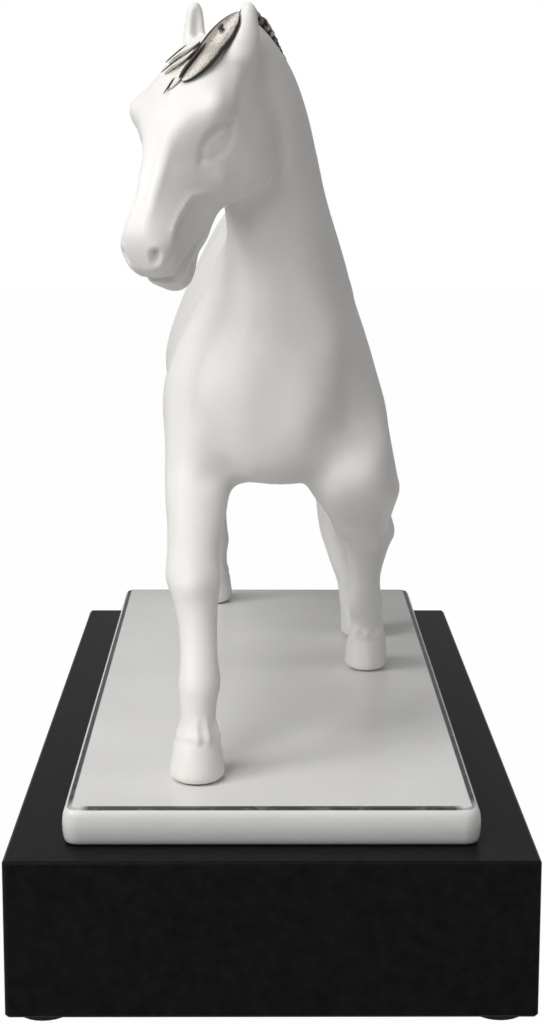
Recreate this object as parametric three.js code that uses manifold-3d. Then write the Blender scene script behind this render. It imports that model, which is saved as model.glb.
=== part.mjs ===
// Porcelain horse walking on a porcelain plinth, on a black lacquered wood base.
// Millimetres, +Z up. The horse faces -Y and its left side is towards +X.
// The origin is at the bottom centre of the object, on the table.

import * as THREE from 'three';
import { mergeVertices } from 'three/addons/utils/BufferGeometryUtils.js';
import Module from 'manifold-3d';

const wasm = await Module();
wasm.setup();

// Wood base and its rubber feet
const baseWidth = 160;
const baseLength = 336;
const baseHeight = 49;
const baseWall = 10;
const baseChamfer = 0.8;
const baseCornerRadius = 1.6;
const bottomBoardThickness = 5;
const bottomBoardRebate = 4;
const footRadius = 8;
const footHeight = 2.5;
const footRim = 0.9;
const footInset = 11;

// Porcelain plinth
const plinthSideMargin = 16.4;
const plinthFrontMargin = 13.2;
const plinthBackMargin = 6.5;
const plinthThickness = 11;
const plinthCornerRadius = 5;
const plinthBulge = 0.7;
const plinthEdgeRadius = 1.5;
const plinthWall = 4;
const pinstripeInset = 1.7;
const pinstripeWidth = 0.9;
const pinstripeDepth = 0.5;

// Horse's body: heights are above the plinth's top
const withersHeight = 191;
const backHeight = 182;
const croupHeight = 188;
const dockHeight = 171;
const chestFloorHeight = 85.5;
const flankHeight = 102;
const shoulderPointHeight = 104;
const widestHeight = 114;
const breastY = -93;
const withersY = -26;
const croupY = 70;
const buttockY = 114;
const shoulderX = 3.2;
const barrelX = -2;
const rumpX = 0;
const shoulderHalfWidth = 37.5;
const barrelHalfWidth = 37.2;
const rumpHalfWidth = 34;

// Neck and head, which turns to the horse's right
const pollX = -18;
const pollY = -96;
const pollRise = 36.5;
const pollHeight = withersHeight + pollRise;
const neckBaseHalfWidth = 24;
const neckTopHalfWidth = 12.5;
const neckBaseHalfDepth = 38;
const neckTopHalfDepth = 19;
const neckRoot = [{ ahead: 20, below: 45 }, { ahead: 37, below: 26 }];
const neckNape = [
  { aside: 18, behind: 19, below: 45 }, { aside: 16, behind: 9, below: 29 },
  { aside: 14, behind: 4, below: 14 }, { aside: 9, behind: 0, below: 3 },
];
const headLength = 77.5;
const headTurn = THREE.MathUtils.degToRad(-38);
const faceTilt = THREE.MathUtils.degToRad(-25);
const browHalfWidth = 19.3;
const muzzleHalfWidth = 11.8;
const faceDepth = 13.4;
const jawDepth = 27;
const earLength = 16.5;
const earHalfWidth = 3.9;
const earSpacing = 18;
const earWall = 1.3;
const earRootDepth = 6;
const earFlare = 1.4;

// Hair
const maneLockCount = 9;
const maneLockHalfWidth = 5;
const maneLockHalfThickness = 1.7;
const maneWrapDegrees = [-24, 0, 22, 42, 60];
const maneSweep = 6;
const tailLength = 108;
const tailHalfWidth = 5.2;

// Legs: joint heights above the plinth's top and sizes across each joint
const elbowHeight = 98;
const kneeHeight = 60;
const stifleHeight = 106;
const hockHeight = 59;
const fetlockHeight = 30;
const hoofHeight = 13;
const foreArmHalfWidth = 11.6;
const kneeHalfWidth = 8.1;
const cannonHalfWidth = 6.3;
const fetlockHalfWidth = 6.5;
const fetlockHalfLength = 8;
const pasternHalfWidth = 5.4;
const pasternHalfLength = 7;
const hoofHalfWidth = 8.6;
const hoofHalfLength = 11.5;
const coronetSetback = 2.6;
const thighHalfWidth = 14;
const hockHalfWidth = 8.2;
const hockSetback = 3;

// Each leg's joints from the top down, as [x, y]
const rightForeJoints = { top: [-23, -60], middle: [-26, -97], fetlock: [-23, -115.5], hoof: [-23.4, -121] };
const leftForeJoints = { top: [28, -46], middle: [34.3, -25], fetlock: [35.5, 4], hoof: [37.2, 21.5] };
const rightHindJoints = { top: [-22, 80], middle: [-24, 116], fetlock: [-23.5, 129], hoof: [-23.8, 138] };
const leftHindJoints = { top: [21, 73], middle: [25, 91], fetlock: [33, 77], hoof: [39.5, 74] };

// Neighbouring pieces lie this far apart
const jointGap = 0.3;

const plinthBottom = footHeight + baseHeight + jointGap;
const plinthTop = plinthBottom + plinthThickness;

const porcelain = { color: 0xf1efea, roughness: 0.42, metalness: 0 };
const glazedPorcelain = { color: 0xf3f2ee, roughness: 0.12, metalness: 0 };
const silverLustre = { color: 0xb9b2a6, roughness: 0.3, metalness: 0.85 };
const blackLacquer = { color: 0x17171a, roughness: 0.45, metalness: 0 };
const bottomBoardBlack = { color: 0x1d1c1b, roughness: 0.8, metalness: 0 };
const footRubber = { color: 0x121212, roughness: 0.85, metalness: 0 };

function piece(name, geometry, finish) {
  const mesh = new THREE.Mesh(geometry, new THREE.MeshStandardMaterial(finish));
  mesh.name = name;
  return mesh;
}

// Closed geometry to solid and back
function toSolid(geometry) {
  const bare = new THREE.BufferGeometry();
  bare.setAttribute('position', geometry.getAttribute('position').clone());
  if (geometry.index) bare.setIndex(geometry.index.clone());
  const merged = mergeVertices(bare, 1e-4);
  return new wasm.Manifold(new wasm.Mesh({
    numProp: 3,
    vertProperties: new Float32Array(merged.getAttribute('position').array),
    triVerts: new Uint32Array(merged.index.array),
  }));
}

function toGeometry(solid) {
  const mesh = solid.getMesh();
  const points = [];
  for (let i = 0; i < mesh.vertProperties.length; i += mesh.numProp) {
    points.push(...mesh.vertProperties.slice(i, i + 3));
  }
  const geometry = new THREE.BufferGeometry();
  geometry.setAttribute('position', new THREE.Float32BufferAttribute(points, 3));
  geometry.setIndex(Array.from(mesh.triVerts));
  geometry.computeVertexNormals();
  return geometry;
}

// A cut can leave crumbs beyond the cutter, so the largest body is the piece
function cutBy(geometry, cutters) {
  const solid = cutters.reduce((rest, cutter) => rest.subtract(toSolid(cutter)), toSolid(geometry));
  const bodies = solid.decompose();
  const largest = bodies.reduce((best, body) => (body.volume() > best.volume() ? body : best));
  return toGeometry(largest);
}

// Joins equal rings of points into one closed skin, with a fan at each end
function skin(rings) {
  const count = rings[0].length;
  const points = rings.flat();
  const faces = [];
  const last = rings.length - 1;
  for (let r = 0; r < last; r += 1) {
    for (let i = 0; i < count; i += 1) {
      const a = r * count + i;
      const b = r * count + ((i + 1) % count);
      faces.push(a, b, a + count, b, b + count, a + count);
    }
  }
  const centreOf = (ring) => ring.reduce((sum, p) => sum.add(p), new THREE.Vector3()).divideScalar(count);
  const firstCentre = points.length;
  const lastCentre = firstCentre + 1;
  points.push(centreOf(rings[0]), centreOf(rings[last]));
  for (let i = 0; i < count; i += 1) {
    const next = (i + 1) % count;
    faces.push(firstCentre, next, i, lastCentre, last * count + i, last * count + next);
  }
  const outwards = signedVolume(points, faces) > 0;
  if (!outwards) faces.reverse();
  const geometry = new THREE.BufferGeometry().setFromPoints(points);
  geometry.setIndex(faces);
  geometry.computeVertexNormals();
  return geometry;
}

function signedVolume(points, faces) {
  let sum = 0;
  for (let i = 0; i < faces.length; i += 3) {
    const [a, b, c] = [points[faces[i]], points[faces[i + 1]], points[faces[i + 2]]];
    sum += a.dot(b.clone().cross(c));
  }
  return sum / 6;
}

// Smooth values between stations, each field by a Catmull-Rom spline
function between(stations, stepsPerSpan) {
  const fields = Object.keys(stations[0]);
  const at = (index) => stations[Math.min(Math.max(index, 0), stations.length - 1)];
  const list = [];
  for (let s = 0; s < stations.length - 1; s += 1) {
    const [before, from, to, after] = [at(s - 1), at(s), at(s + 1), at(s + 2)];
    for (let step = 0; step < stepsPerSpan; step += 1) {
      const t = step / stepsPerSpan;
      const blend = (f) => 0.5 * (2 * from[f] + (to[f] - before[f]) * t
        + (2 * before[f] - 5 * from[f] + 4 * to[f] - after[f]) * t * t
        + (3 * from[f] - before[f] - 3 * to[f] + after[f]) * t * t * t);
      list.push(Object.fromEntries(fields.map((f) => [f, blend(f)])));
    }
  }
  list.push({ ...stations[stations.length - 1] });
  return list;
}

// A rounded section: across on both sides, up and down with their own reach and squareness
function section(centre, acrossDir, upDir, size, count) {
  const ring = [];
  for (let i = 0; i < count; i += 1) {
    const angle = (2 * Math.PI * i) / count;
    const [c, s] = [Math.cos(angle), Math.sin(angle)];
    const power = 2 / (s >= 0 ? size.squareUp ?? 2 : size.squareDown ?? 2);
    const reach = s >= 0 ? size.up : size.down;
    const across = Math.sign(c) * Math.abs(c) ** power * size.across;
    const along = Math.sign(s) * Math.abs(s) ** power * reach;
    ring.push(centre.clone().addScaledVector(acrossDir, across).addScaledVector(upDir, along));
  }
  return ring;
}

const xAxis = new THREE.Vector3(1, 0, 0);
const yAxis = new THREE.Vector3(0, 1, 0);
const zAxis = new THREE.Vector3(0, 0, 1);

// A block with rounded corners whose side follows a profile of inset and height
function roundedBlock(width, length, cornerRadius, profile) {
  const stepsPerCorner = 6;
  const leastRadius = 0.4;
  const rings = profile.map(([inset, height]) => {
    const radius = Math.max(cornerRadius - inset, leastRadius);
    const [halfX, halfY] = [width / 2 - inset - radius, length / 2 - inset - radius];
    const ring = [];
    [[1, 1], [-1, 1], [-1, -1], [1, -1]].forEach(([signX, signY], corner) => {
      for (let step = 0; step <= stepsPerCorner; step += 1) {
        const angle = (Math.PI / 2) * (corner + step / stepsPerCorner);
        ring.push(new THREE.Vector3(
          signX * halfX + radius * Math.cos(angle),
          signY * halfY + radius * Math.sin(angle),
          height,
        ));
      }
    });
    return ring;
  });
  return skin(rings);
}

// Wood base: a lacquered box, open below, closed by a board let into a rebate
function makeBase() {
  const base = new THREE.Group();
  base.position.z = footHeight;
  const roof = baseHeight - baseWall;
  const outside = roundedBlock(baseWidth, baseLength, baseCornerRadius, [
    [baseChamfer, 0], [0, baseChamfer], [0, baseHeight - baseChamfer], [baseChamfer, baseHeight],
  ]);
  const inside = [baseWidth - 2 * baseWall, baseLength - 2 * baseWall];
  const rebate = inside.map((size) => size + 2 * bottomBoardRebate);
  const reachBelow = -baseChamfer;
  const hollow = roundedBlock(...inside, baseCornerRadius, [[0, reachBelow], [0, roof]]);
  const seat = roundedBlock(...rebate, baseCornerRadius, [
    [0, reachBelow], [0, bottomBoardThickness + jointGap],
  ]);
  base.add(piece('base_box', cutBy(outside, [hollow, seat]), blackLacquer));
  const board = rebate.map((size) => size - 2 * jointGap);
  base.add(piece('bottom_board', roundedBlock(...board, baseCornerRadius, [
    [0, 0], [0, bottomBoardThickness],
  ]), bottomBoardBlack));
  return base;
}

function makeFoot(name, x, y) {
  const top = footHeight - jointGap;
  const rimBend = 1 - Math.SQRT1_2;
  const profile = [
    [0, 0], [footRadius - footRim, 0], [footRadius - footRim * rimBend, footRim * rimBend],
    [footRadius, footRim], [footRadius, top], [0, top],
  ].map(([radius, height]) => new THREE.Vector2(radius, height));
  const foot = new THREE.LatheGeometry(profile, 24);
  foot.rotateX(Math.PI / 2);
  const mesh = piece(name, foot, footRubber);
  mesh.position.set(x, y, 0);
  return mesh;
}

function makeFeet() {
  const feet = new THREE.Group();
  const [x, y] = [baseWidth / 2 - footInset, baseLength / 2 - footInset];
  feet.add(makeFoot('foot_front_right', -x, -y), makeFoot('foot_front_left', x, -y));
  feet.add(makeFoot('foot_back_right', -x, y), makeFoot('foot_back_left', x, y));
  return feet;
}

// Plinth: a slip-cast tray, mouth down, with a pinstripe groove inside its top edge
function makePlinth() {
  const width = baseWidth - 2 * plinthSideMargin;
  const length = baseLength - plinthFrontMargin - plinthBackMargin;
  const top = plinthThickness;
  const edge = plinthEdgeRadius;
  const stripe = (share) => pinstripeInset + pinstripeWidth * share;
  const lip = 0.4;
  const outside = roundedBlock(width, length, plinthCornerRadius, [
    [plinthBulge + lip, 0], [plinthBulge, lip * 1.5], [plinthBulge * 0.25, top * 0.25], [0, top * 0.5],
    [plinthBulge * 0.3, top - edge * 1.6], [plinthBulge * 0.5 + edge * 0.25, top - edge * 0.6],
    [stripe(-0.28), top - edge * 0.2], [stripe(0), top - edge * 0.15],
    [stripe(0.3), top - pinstripeDepth - edge * 0.1], [stripe(0.7), top - pinstripeDepth - edge * 0.1],
    [stripe(1), top - edge * 0.03], [stripe(1) + lip, top],
  ]);
  const pocket = roundedBlock(width - 2 * plinthWall, length - 2 * plinthWall, plinthCornerRadius, [
    [0, -plinthWall], [0, top - plinthWall],
  ]);
  const plinth = piece('plinth', cutBy(outside, [pocket]), glazedPorcelain);
  plinth.position.set(0, (plinthFrontMargin - plinthBackMargin) / 2, plinthBottom);
  return plinth;
}

// Torso, from the breast to the buttock: each station is a section across the body
function torsoStations() {
  const front = (share) => THREE.MathUtils.lerp(breastY, withersY, share);
  const back = (share) => THREE.MathUtils.lerp(withersY, croupY, share);
  const rear = (share) => THREE.MathUtils.lerp(croupY, buttockY, share);
  const [wide, barrel, rump] = [shoulderHalfWidth, barrelHalfWidth, rumpHalfWidth];
  const [floor, point, girth] = [chestFloorHeight, shoulderPointHeight, widestHeight];
  const station = (y, x, half, top, middle, bottom) => ({ y, x, half, top, middle, bottom });
  return [
    station(front(0), shoulderX, wide * 0.4, floor + 56, point + 10, floor + 18),
    station(front(0.07), shoulderX, wide * 0.66, floor + 70, point + 5, floor + 6),
    station(front(0.25), shoulderX, wide * 0.92, withersHeight - 20, point, floor),
    station(front(0.52), shoulderX, wide, withersHeight - 6, point, floor - 1),
    station(back(0), shoulderX * 0.5, (wide + barrel) / 2, withersHeight, girth - 4, floor - 2),
    station(back(0.25), barrelX, barrel, backHeight + 4, girth, floor - 3),
    station(back(0.5), barrelX, barrel, backHeight, girth, floor - 1),
    station(back(0.78), barrelX * 0.5, barrel * 0.97, croupHeight - 3, girth + 4, flankHeight - 9),
    station(back(1), rumpX, rump, croupHeight, girth + 14, flankHeight),
    station(rear(0.45), rumpX, rump * 0.88, croupHeight - 6, girth + 22, flankHeight + 10),
    station(rear(0.8), rumpX, rump * 0.68, dockHeight + 1, girth + 26, flankHeight + 20),
    station(rear(1), rumpX, rump * 0.38, dockHeight - 12, girth + 30, flankHeight + 32),
  ];
}

function torsoShape(grow) {
  const stations = between(torsoStations(), 2);
  const last = stations.length - 1;
  return skin(stations.map((station, index) => {
    const endShift = (index === last ? grow : 0) - (index === 0 ? grow : 0);
    const size = {
      across: station.half + grow,
      up: station.top - station.middle + grow,
      down: station.middle - station.bottom + grow,
      squareUp: 1.5,
      squareDown: 2.4,
    };
    const centre = new THREE.Vector3(station.x, station.y + endShift, station.middle);
    return section(centre, xAxis, zAxis, size, 28);
  }));
}

// Neck: sections square to a spine that rises, arches and bends to the poll
function neckStations() {
  const wide = (share) => THREE.MathUtils.lerp(neckBaseHalfWidth, neckTopHalfWidth, share);
  const deep = (share) => THREE.MathUtils.lerp(neckBaseHalfDepth, neckTopHalfDepth, share);
  const sizes = [[0, 0], [0.26, 0.18], [0.55, 0.42], [0.74, 0.64], [0.88, 0.82], [1, 1]];
  const spots = [
    ...neckRoot.map(({ ahead, below }) => [shoulderX, withersY - ahead, withersHeight - below]),
    ...neckNape.map(({ aside, behind, below }) => [pollX + aside, pollY + behind, pollHeight - below]),
  ];
  return spots.map(([x, y, z], index) => (
    { x, y, z, wide: wide(sizes[index][0]), deep: deep(sizes[index][1]) }
  ));
}

// The spine of the neck with its directions: across, towards the crest and along
function neckFrames(stepsPerSpan) {
  const stations = between(neckStations(), stepsPerSpan);
  const spot = ({ x, y, z }) => new THREE.Vector3(x, y, z);
  return stations.map((station, index) => {
    const ahead = spot(stations[Math.min(index + 1, stations.length - 1)]);
    const behind = spot(stations[Math.max(index - 1, 0)]);
    const along = ahead.sub(behind).normalize();
    const across = xAxis.clone().addScaledVector(along, -xAxis.dot(along)).normalize();
    const crest = new THREE.Vector3().crossVectors(across, along).negate();
    if (crest.y < 0) crest.negate();
    return { centre: spot(station), along, across, crest, wide: station.wide, deep: station.deep };
  });
}

function neckShape(grow) {
  const frames = neckFrames(3);
  const last = frames.length - 1;
  return skin(frames.map((frame, index) => {
    const endShift = (index === last ? grow : 0) - (index === 0 ? grow : 0);
    const centre = frame.centre.clone().addScaledVector(frame.along, endShift);
    const size = { across: frame.wide + grow, up: frame.deep + grow, down: frame.deep + grow, squareUp: 1.8 };
    return section(centre, frame.across, frame.crest, size, 22);
  }));
}

// Head: sections down from the poll in its own frame, where -Y is the face and +Y the jaw
const headPlace = new THREE.Matrix4().makeTranslation(pollX, pollY, pollHeight)
  .multiply(new THREE.Matrix4().makeRotationZ(headTurn))
  .multiply(new THREE.Matrix4().makeRotationX(faceTilt));

function headStations() {
  const down = (share) => -headLength * share;
  const [brow, muzzle, face, jaw] = [browHalfWidth, muzzleHalfWidth, faceDepth, jawDepth];
  return [
    { z: down(-0.055), middle: 2, half: brow * 0.36, face: face * 0.3, jaw: jaw * 0.22 },
    { z: down(-0.03), middle: 1, half: brow * 0.6, face: face * 0.5, jaw: jaw * 0.38 },
    { z: down(0.03), middle: 0, half: brow * 0.8, face: face * 0.78, jaw: jaw * 0.6 },
    { z: down(0.15), middle: 0, half: brow * 0.92, face: face * 0.97, jaw: jaw * 0.82 },
    { z: down(0.29), middle: 0, half: brow, face, jaw: jaw * 0.97 },
    { z: down(0.43), middle: 0, half: brow * 0.86, face: face * 0.84, jaw },
    { z: down(0.57), middle: 0, half: muzzle * 1.08, face: face * 0.74, jaw: jaw * 0.78 },
    { z: down(0.7), middle: 0, half: muzzle * 0.93, face: face * 0.76, jaw: jaw * 0.55 },
    { z: down(0.82), middle: 0, half: muzzle, face: face * 0.82, jaw: jaw * 0.5 },
    { z: down(0.91), middle: 1, half: muzzle * 0.98, face: face * 0.74, jaw: jaw * 0.46 },
    { z: down(0.97), middle: 2, half: muzzle * 0.82, face: face * 0.56, jaw: jaw * 0.38 },
    { z: down(1), middle: 4, half: muzzle * 0.52, face: face * 0.32, jaw: jaw * 0.22 },
  ];
}

function headShape(grow) {
  const stations = between(headStations(), 2);
  const last = stations.length - 1;
  const head = skin(stations.map((station, index) => {
    const endShift = (index === 0 ? grow : 0) - (index === last ? grow : 0);
    const size = {
      across: station.half + grow,
      up: station.jaw + grow,
      down: station.face + grow,
      squareUp: 2,
      squareDown: 2.5,
    };
    const centre = new THREE.Vector3(0, station.middle, station.z + endShift);
    return section(centre, xAxis, yAxis, size, 22);
  }));
  return head.applyMatrix4(headPlace);
}

// Ear: a pointed leaf that stands up from the poll, hollowed on its front
function earShape(side, grow) {
  const root = new THREE.Vector3(side * earSpacing / 2, 4, -earRootDepth).applyMatrix4(headPlace);
  const across = xAxis.clone().transformDirection(headPlace);
  const deep = new THREE.Vector3().crossVectors(zAxis, across);
  const outline = [
    [0, 0.9, 0.8], [0.2, 1, 0.8], [0.45, 1, 0.72], [0.7, 0.74, 0.5], [0.88, 0.4, 0.3], [1, 0.1, 0.1],
  ];
  return skin(outline.map(([share, wide, thick]) => {
    const endShift = (share === 1 ? grow : 0) - (share === 0 ? grow : 0);
    const height = share * (earLength + earRootDepth) + endShift;
    const flare = side * share * earFlare;
    const centre = root.clone().addScaledVector(zAxis, height).addScaledVector(across, flare);
    const halfThickness = earHalfWidth * thick + grow;
    const size = { across: earHalfWidth * wide + grow, up: halfThickness, down: halfThickness };
    return section(centre, across, deep, size, 14);
  }));
}

function earHollow(side) {
  const forward = 2.4;
  const front = new THREE.Vector3(side * 0.6, -1, 0).transformDirection(headPlace).setZ(0).normalize();
  return earShape(side, -earWall).translate(front.x * forward, front.y * forward, earWall);
}

// Leg: level sections from inside the body down to the flat sole
function legShape(stations, grow) {
  const rings = between(stations, 2);
  const last = rings.length - 1;
  return skin(rings.map((ring, index) => {
    const endShift = (index === 0 ? grow : 0) - (index === last ? grow : 0);
    const centre = new THREE.Vector3(ring.x, ring.y, ring.z + endShift);
    const size = { across: ring.wide + grow, up: ring.long + grow, down: ring.long + grow };
    return section(centre, xAxis, yAxis, size, 16);
  }));
}

// A slanted limb cut level is longer than it is thick
const slant = (length, from, to, drop) => length * Math.hypot(1, (to[1] - from[1]) / drop);

// A leg's section between two joints: its height and half sizes across and along
function limb(from, to, share, z, wide, long) {
  const [x, y] = [0, 1].map((axis) => THREE.MathUtils.lerp(from[axis], to[axis], share));
  return { x, y, z, wide, long };
}

// Fetlock, pastern and hoof are the same on all four legs
function footStations({ fetlock, hoof }) {
  const [wide, long] = [hoofHalfWidth, hoofHalfLength];
  const coronet = [hoof[0], hoof[1] + coronetSetback];
  return [
    limb(fetlock, hoof, 0, fetlockHeight, fetlockHalfWidth, fetlockHalfLength),
    limb(fetlock, hoof, 0.45, fetlockHeight - 9, pasternHalfWidth, pasternHalfLength),
    limb(coronet, hoof, 0, hoofHeight, wide * 0.86, long * 0.78),
    limb(coronet, hoof, 0.4, hoofHeight - 3, wide * 0.9, long * 0.84),
    limb(coronet, hoof, 1, jointGap, wide, long),
  ];
}

function foreLegShape(joints, grow) {
  const { top, middle, fetlock } = joints;
  const arm = elbowHeight - kneeHeight;
  const shin = kneeHeight - fetlockHeight;
  const armLong = (length) => slant(length, top, middle, arm);
  const shinLong = (length) => slant(length, middle, fetlock, shin);
  const [wide, cannon] = [foreArmHalfWidth, cannonHalfWidth];
  return legShape([
    limb(top, middle, -0.4, elbowHeight + 24, wide * 0.8, 15),
    limb(top, middle, -0.12, elbowHeight + 8, wide * 1.02, armLong(13.5)),
    limb(top, middle, 0.3, kneeHeight + arm * 0.68, wide * 0.98, armLong(11.6)),
    limb(top, middle, 0.72, kneeHeight + arm * 0.28, wide * 0.78, armLong(8.6)),
    limb(top, middle, 1, kneeHeight, kneeHalfWidth, shinLong(8)),
    limb(middle, fetlock, 0.3, kneeHeight - shin * 0.3, cannon * 1.1, shinLong(6.4)),
    limb(middle, fetlock, 0.62, kneeHeight - shin * 0.62, cannon, shinLong(6)),
    ...footStations(joints),
  ], grow);
}

function hindLegShape(joints, grow) {
  const { top, middle, fetlock } = joints;
  const thigh = stifleHeight - hockHeight;
  const shin = hockHeight - fetlockHeight;
  const shinLong = (length) => slant(length, middle, fetlock, shin);
  const [wide, hock, cannon] = [thighHalfWidth, hockHalfWidth, cannonHalfWidth];
  const hockPoint = [middle[0], middle[1] + hockSetback];
  return legShape([
    limb(top, middle, -0.14, stifleHeight + 48, wide * 0.55, 12),
    limb(top, middle, -0.12, stifleHeight + 38, wide * 0.95, 22),
    limb(top, middle, -0.06, stifleHeight + 18, wide * 1.16, 27),
    limb(top, middle, 0.08, stifleHeight, wide * 1.04, 24),
    limb(top, middle, 0.42, hockHeight + thigh * 0.6, wide * 0.8, 15.5),
    limb(top, middle, 0.8, hockHeight + thigh * 0.28, hock * 0.92, 10.4),
    limb(hockPoint, fetlock, 0, hockHeight + 4, hock, 10),
    limb(middle, fetlock, 0.25, hockHeight - shin * 0.3, cannon * 1.15, shinLong(7.6)),
    limb(middle, fetlock, 0.6, hockHeight - shin * 0.62, cannon, shinLong(6.8)),
    ...footStations(joints),
  ], grow);
}

// Lock of hair: a flat leaf swept along a curve, wide across the curve, ending in a point
function lockShape(path, acrossDir, halfWidth, halfThickness, grow) {
  const steps = 8;
  const curve = new THREE.CatmullRomCurve3(path);
  const rings = [];
  for (let step = 0; step <= steps; step += 1) {
    const t = step / steps;
    const along = curve.getTangentAt(t);
    const across = acrossDir.clone().addScaledVector(along, -acrossDir.dot(along)).normalize();
    const out = new THREE.Vector3().crossVectors(along, across);
    const swell = Math.max(0.1, Math.sin(Math.PI * (0.24 + 0.76 * t) ** 1.1) ** 0.8);
    const endShift = (step === steps ? grow : 0) - (step === 0 ? grow : 0);
    const centre = curve.getPointAt(t).addScaledVector(along, endShift);
    const size = {
      across: halfWidth * swell + grow,
      up: halfThickness * Math.sqrt(swell) + grow,
      down: halfThickness * Math.sqrt(swell) + grow,
    };
    rings.push(section(centre, across, out, size, 8));
  }
  return skin(rings);
}

// Mane lock: rooted over the crest, it wraps the neck's own section down the right side
function maneLockShape(index, grow) {
  const frames = neckFrames(8);
  const share = THREE.MathUtils.lerp(1, 0.24, index / (maneLockCount - 1));
  const frame = frames[Math.round(share * (frames.length - 1))];
  const proud = maneLockHalfThickness + jointGap;
  const lastDegrees = maneWrapDegrees[maneWrapDegrees.length - 1];
  const path = maneWrapDegrees.map((degrees) => {
    const angle = THREE.MathUtils.degToRad(degrees);
    const sweep = -maneSweep * Math.max(degrees / lastDegrees, 0);
    return frame.centre.clone()
      .addScaledVector(frame.across, -(frame.wide + proud) * Math.sin(angle))
      .addScaledVector(frame.crest, (frame.deep + proud) * Math.cos(angle))
      .addScaledVector(frame.along, sweep);
  });
  return lockShape(path, frame.along, maneLockHalfWidth, maneLockHalfThickness, grow);
}

// Forelock: three locks that rise at the poll and fall on the brow, in the head's frame
const forelockPaths = {
  forelock_middle: [[2, 5, 8], [4.6, -3, 8.6], [7, -10, 2], [5.2, -13, -8], [2.8, -13.6, -19]],
  forelock_right: [[-3, 5, 5], [-3.6, -2, 7.8], [-5.8, -9.4, 2], [-7.8, -12, -4], [-9.4, -12, -12]],
  forelock_inner: [[-1, 4, 5], [-0.6, -4, 8], [-1.6, -11.6, 1], [-3.8, -13.4, -9], [-5, -13.4, -22.5]],
};
const forelockHalfWidths = { forelock_middle: 4.2, forelock_right: 3, forelock_inner: 2.6 };
const forelockHalfThickness = 1.5;

function forelockShape(name, grow) {
  const path = forelockPaths[name].map((point) => new THREE.Vector3(...point).applyMatrix4(headPlace));
  const across = xAxis.clone().transformDirection(headPlace);
  return lockShape(path, across, forelockHalfWidths[name], forelockHalfThickness, grow);
}

// Tail: three locks that leave the dock together, arch back and hang behind the hocks
function tailShape(side, grow) {
  const dock = new THREE.Vector3(rumpX + side * 3.4, buttockY - 9, dockHeight - 3);
  const drop = [0, -3, 0.12, 0.42, 0.75, 1];
  const back = [0, 10, 19, 23, 21, 17];
  const spread = [0, 0, 1.2, 2.6, 2, 0.6];
  const path = back.map((reach, index) => {
    const fall = index < 2 ? drop[index] : drop[index] * tailLength;
    return dock.clone().add(new THREE.Vector3(side * spread[index], reach, -fall));
  });
  return lockShape(path, xAxis, tailHalfWidth, tailHalfWidth * 0.95, grow);
}

function makeHorse() {
  const horse = new THREE.Group();
  horse.position.z = plinthTop;
  const torso = torsoShape(jointGap);
  const neck = neckShape(jointGap);
  const head = headShape(jointGap);
  horse.add(piece('torso', torsoShape(0), porcelain));
  horse.add(piece('head', headShape(0), porcelain));
  horse.add(piece('neck', cutBy(neckShape(0), [torso, head]), porcelain));

  const legs = {
    leg_fore_right: (grow) => foreLegShape(rightForeJoints, grow),
    leg_fore_left: (grow) => foreLegShape(leftForeJoints, grow),
    leg_hind_right: (grow) => hindLegShape(rightHindJoints, grow),
    leg_hind_left: (grow) => hindLegShape(leftHindJoints, grow),
  };
  Object.entries(legs).forEach(([name, shape]) => {
    horse.add(piece(name, cutBy(shape(0), [torso, neck]), porcelain));
  });

  const ears = [];
  [['ear_right', -1], ['ear_left', 1]].forEach(([name, side]) => {
    horse.add(piece(name, cutBy(earShape(side, 0), [head, neck, earHollow(side)]), porcelain));
    ears.push(earShape(side, jointGap));
  });

  const laid = [torso, neck, head, ...ears];
  const addLock = (name, shape) => {
    horse.add(piece(name, cutBy(shape(0), laid), silverLustre));
    laid.push(shape(jointGap));
  };
  Object.keys(forelockPaths).forEach((name) => addLock(name, (grow) => forelockShape(name, grow)));
  for (let i = 0; i < maneLockCount; i += 1) {
    addLock(`mane_lock_${i + 1}`, (grow) => maneLockShape(i, grow));
  }
  [['tail_middle', 0], ['tail_right', -1], ['tail_left', 1]].forEach(([name, side]) => {
    addLock(name, (grow) => tailShape(side, grow));
  });
  return horse;
}

const figurine = new THREE.Group();
figurine.add(makeFeet(), makeBase(), makePlinth(), makeHorse());
export default figurine;
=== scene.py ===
import bpy
import numpy as np
from mathutils import Matrix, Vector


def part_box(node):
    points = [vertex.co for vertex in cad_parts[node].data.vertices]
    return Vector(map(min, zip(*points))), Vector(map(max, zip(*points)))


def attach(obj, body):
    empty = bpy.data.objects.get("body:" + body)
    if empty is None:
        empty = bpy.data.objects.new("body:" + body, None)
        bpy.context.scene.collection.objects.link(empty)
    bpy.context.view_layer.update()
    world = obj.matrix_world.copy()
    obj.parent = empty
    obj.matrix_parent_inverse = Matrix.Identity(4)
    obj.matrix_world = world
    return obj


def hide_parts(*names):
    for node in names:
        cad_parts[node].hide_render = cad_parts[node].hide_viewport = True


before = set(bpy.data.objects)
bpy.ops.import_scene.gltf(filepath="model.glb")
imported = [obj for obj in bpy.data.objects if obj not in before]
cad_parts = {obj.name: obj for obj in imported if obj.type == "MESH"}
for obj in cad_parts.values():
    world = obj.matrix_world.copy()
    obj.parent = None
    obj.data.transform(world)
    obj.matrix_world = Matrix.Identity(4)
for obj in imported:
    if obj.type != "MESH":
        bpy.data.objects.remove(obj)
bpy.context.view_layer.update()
scene = bpy.context.scene
scene.view_settings.view_transform = "Standard"
millimetre = 0.001  # in metres; shapes are worked out in millimetres
plinthTop = 62.8  # the horse's heights are above the plinth's top
print("frame loaded")


# Shared shape functions

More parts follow.
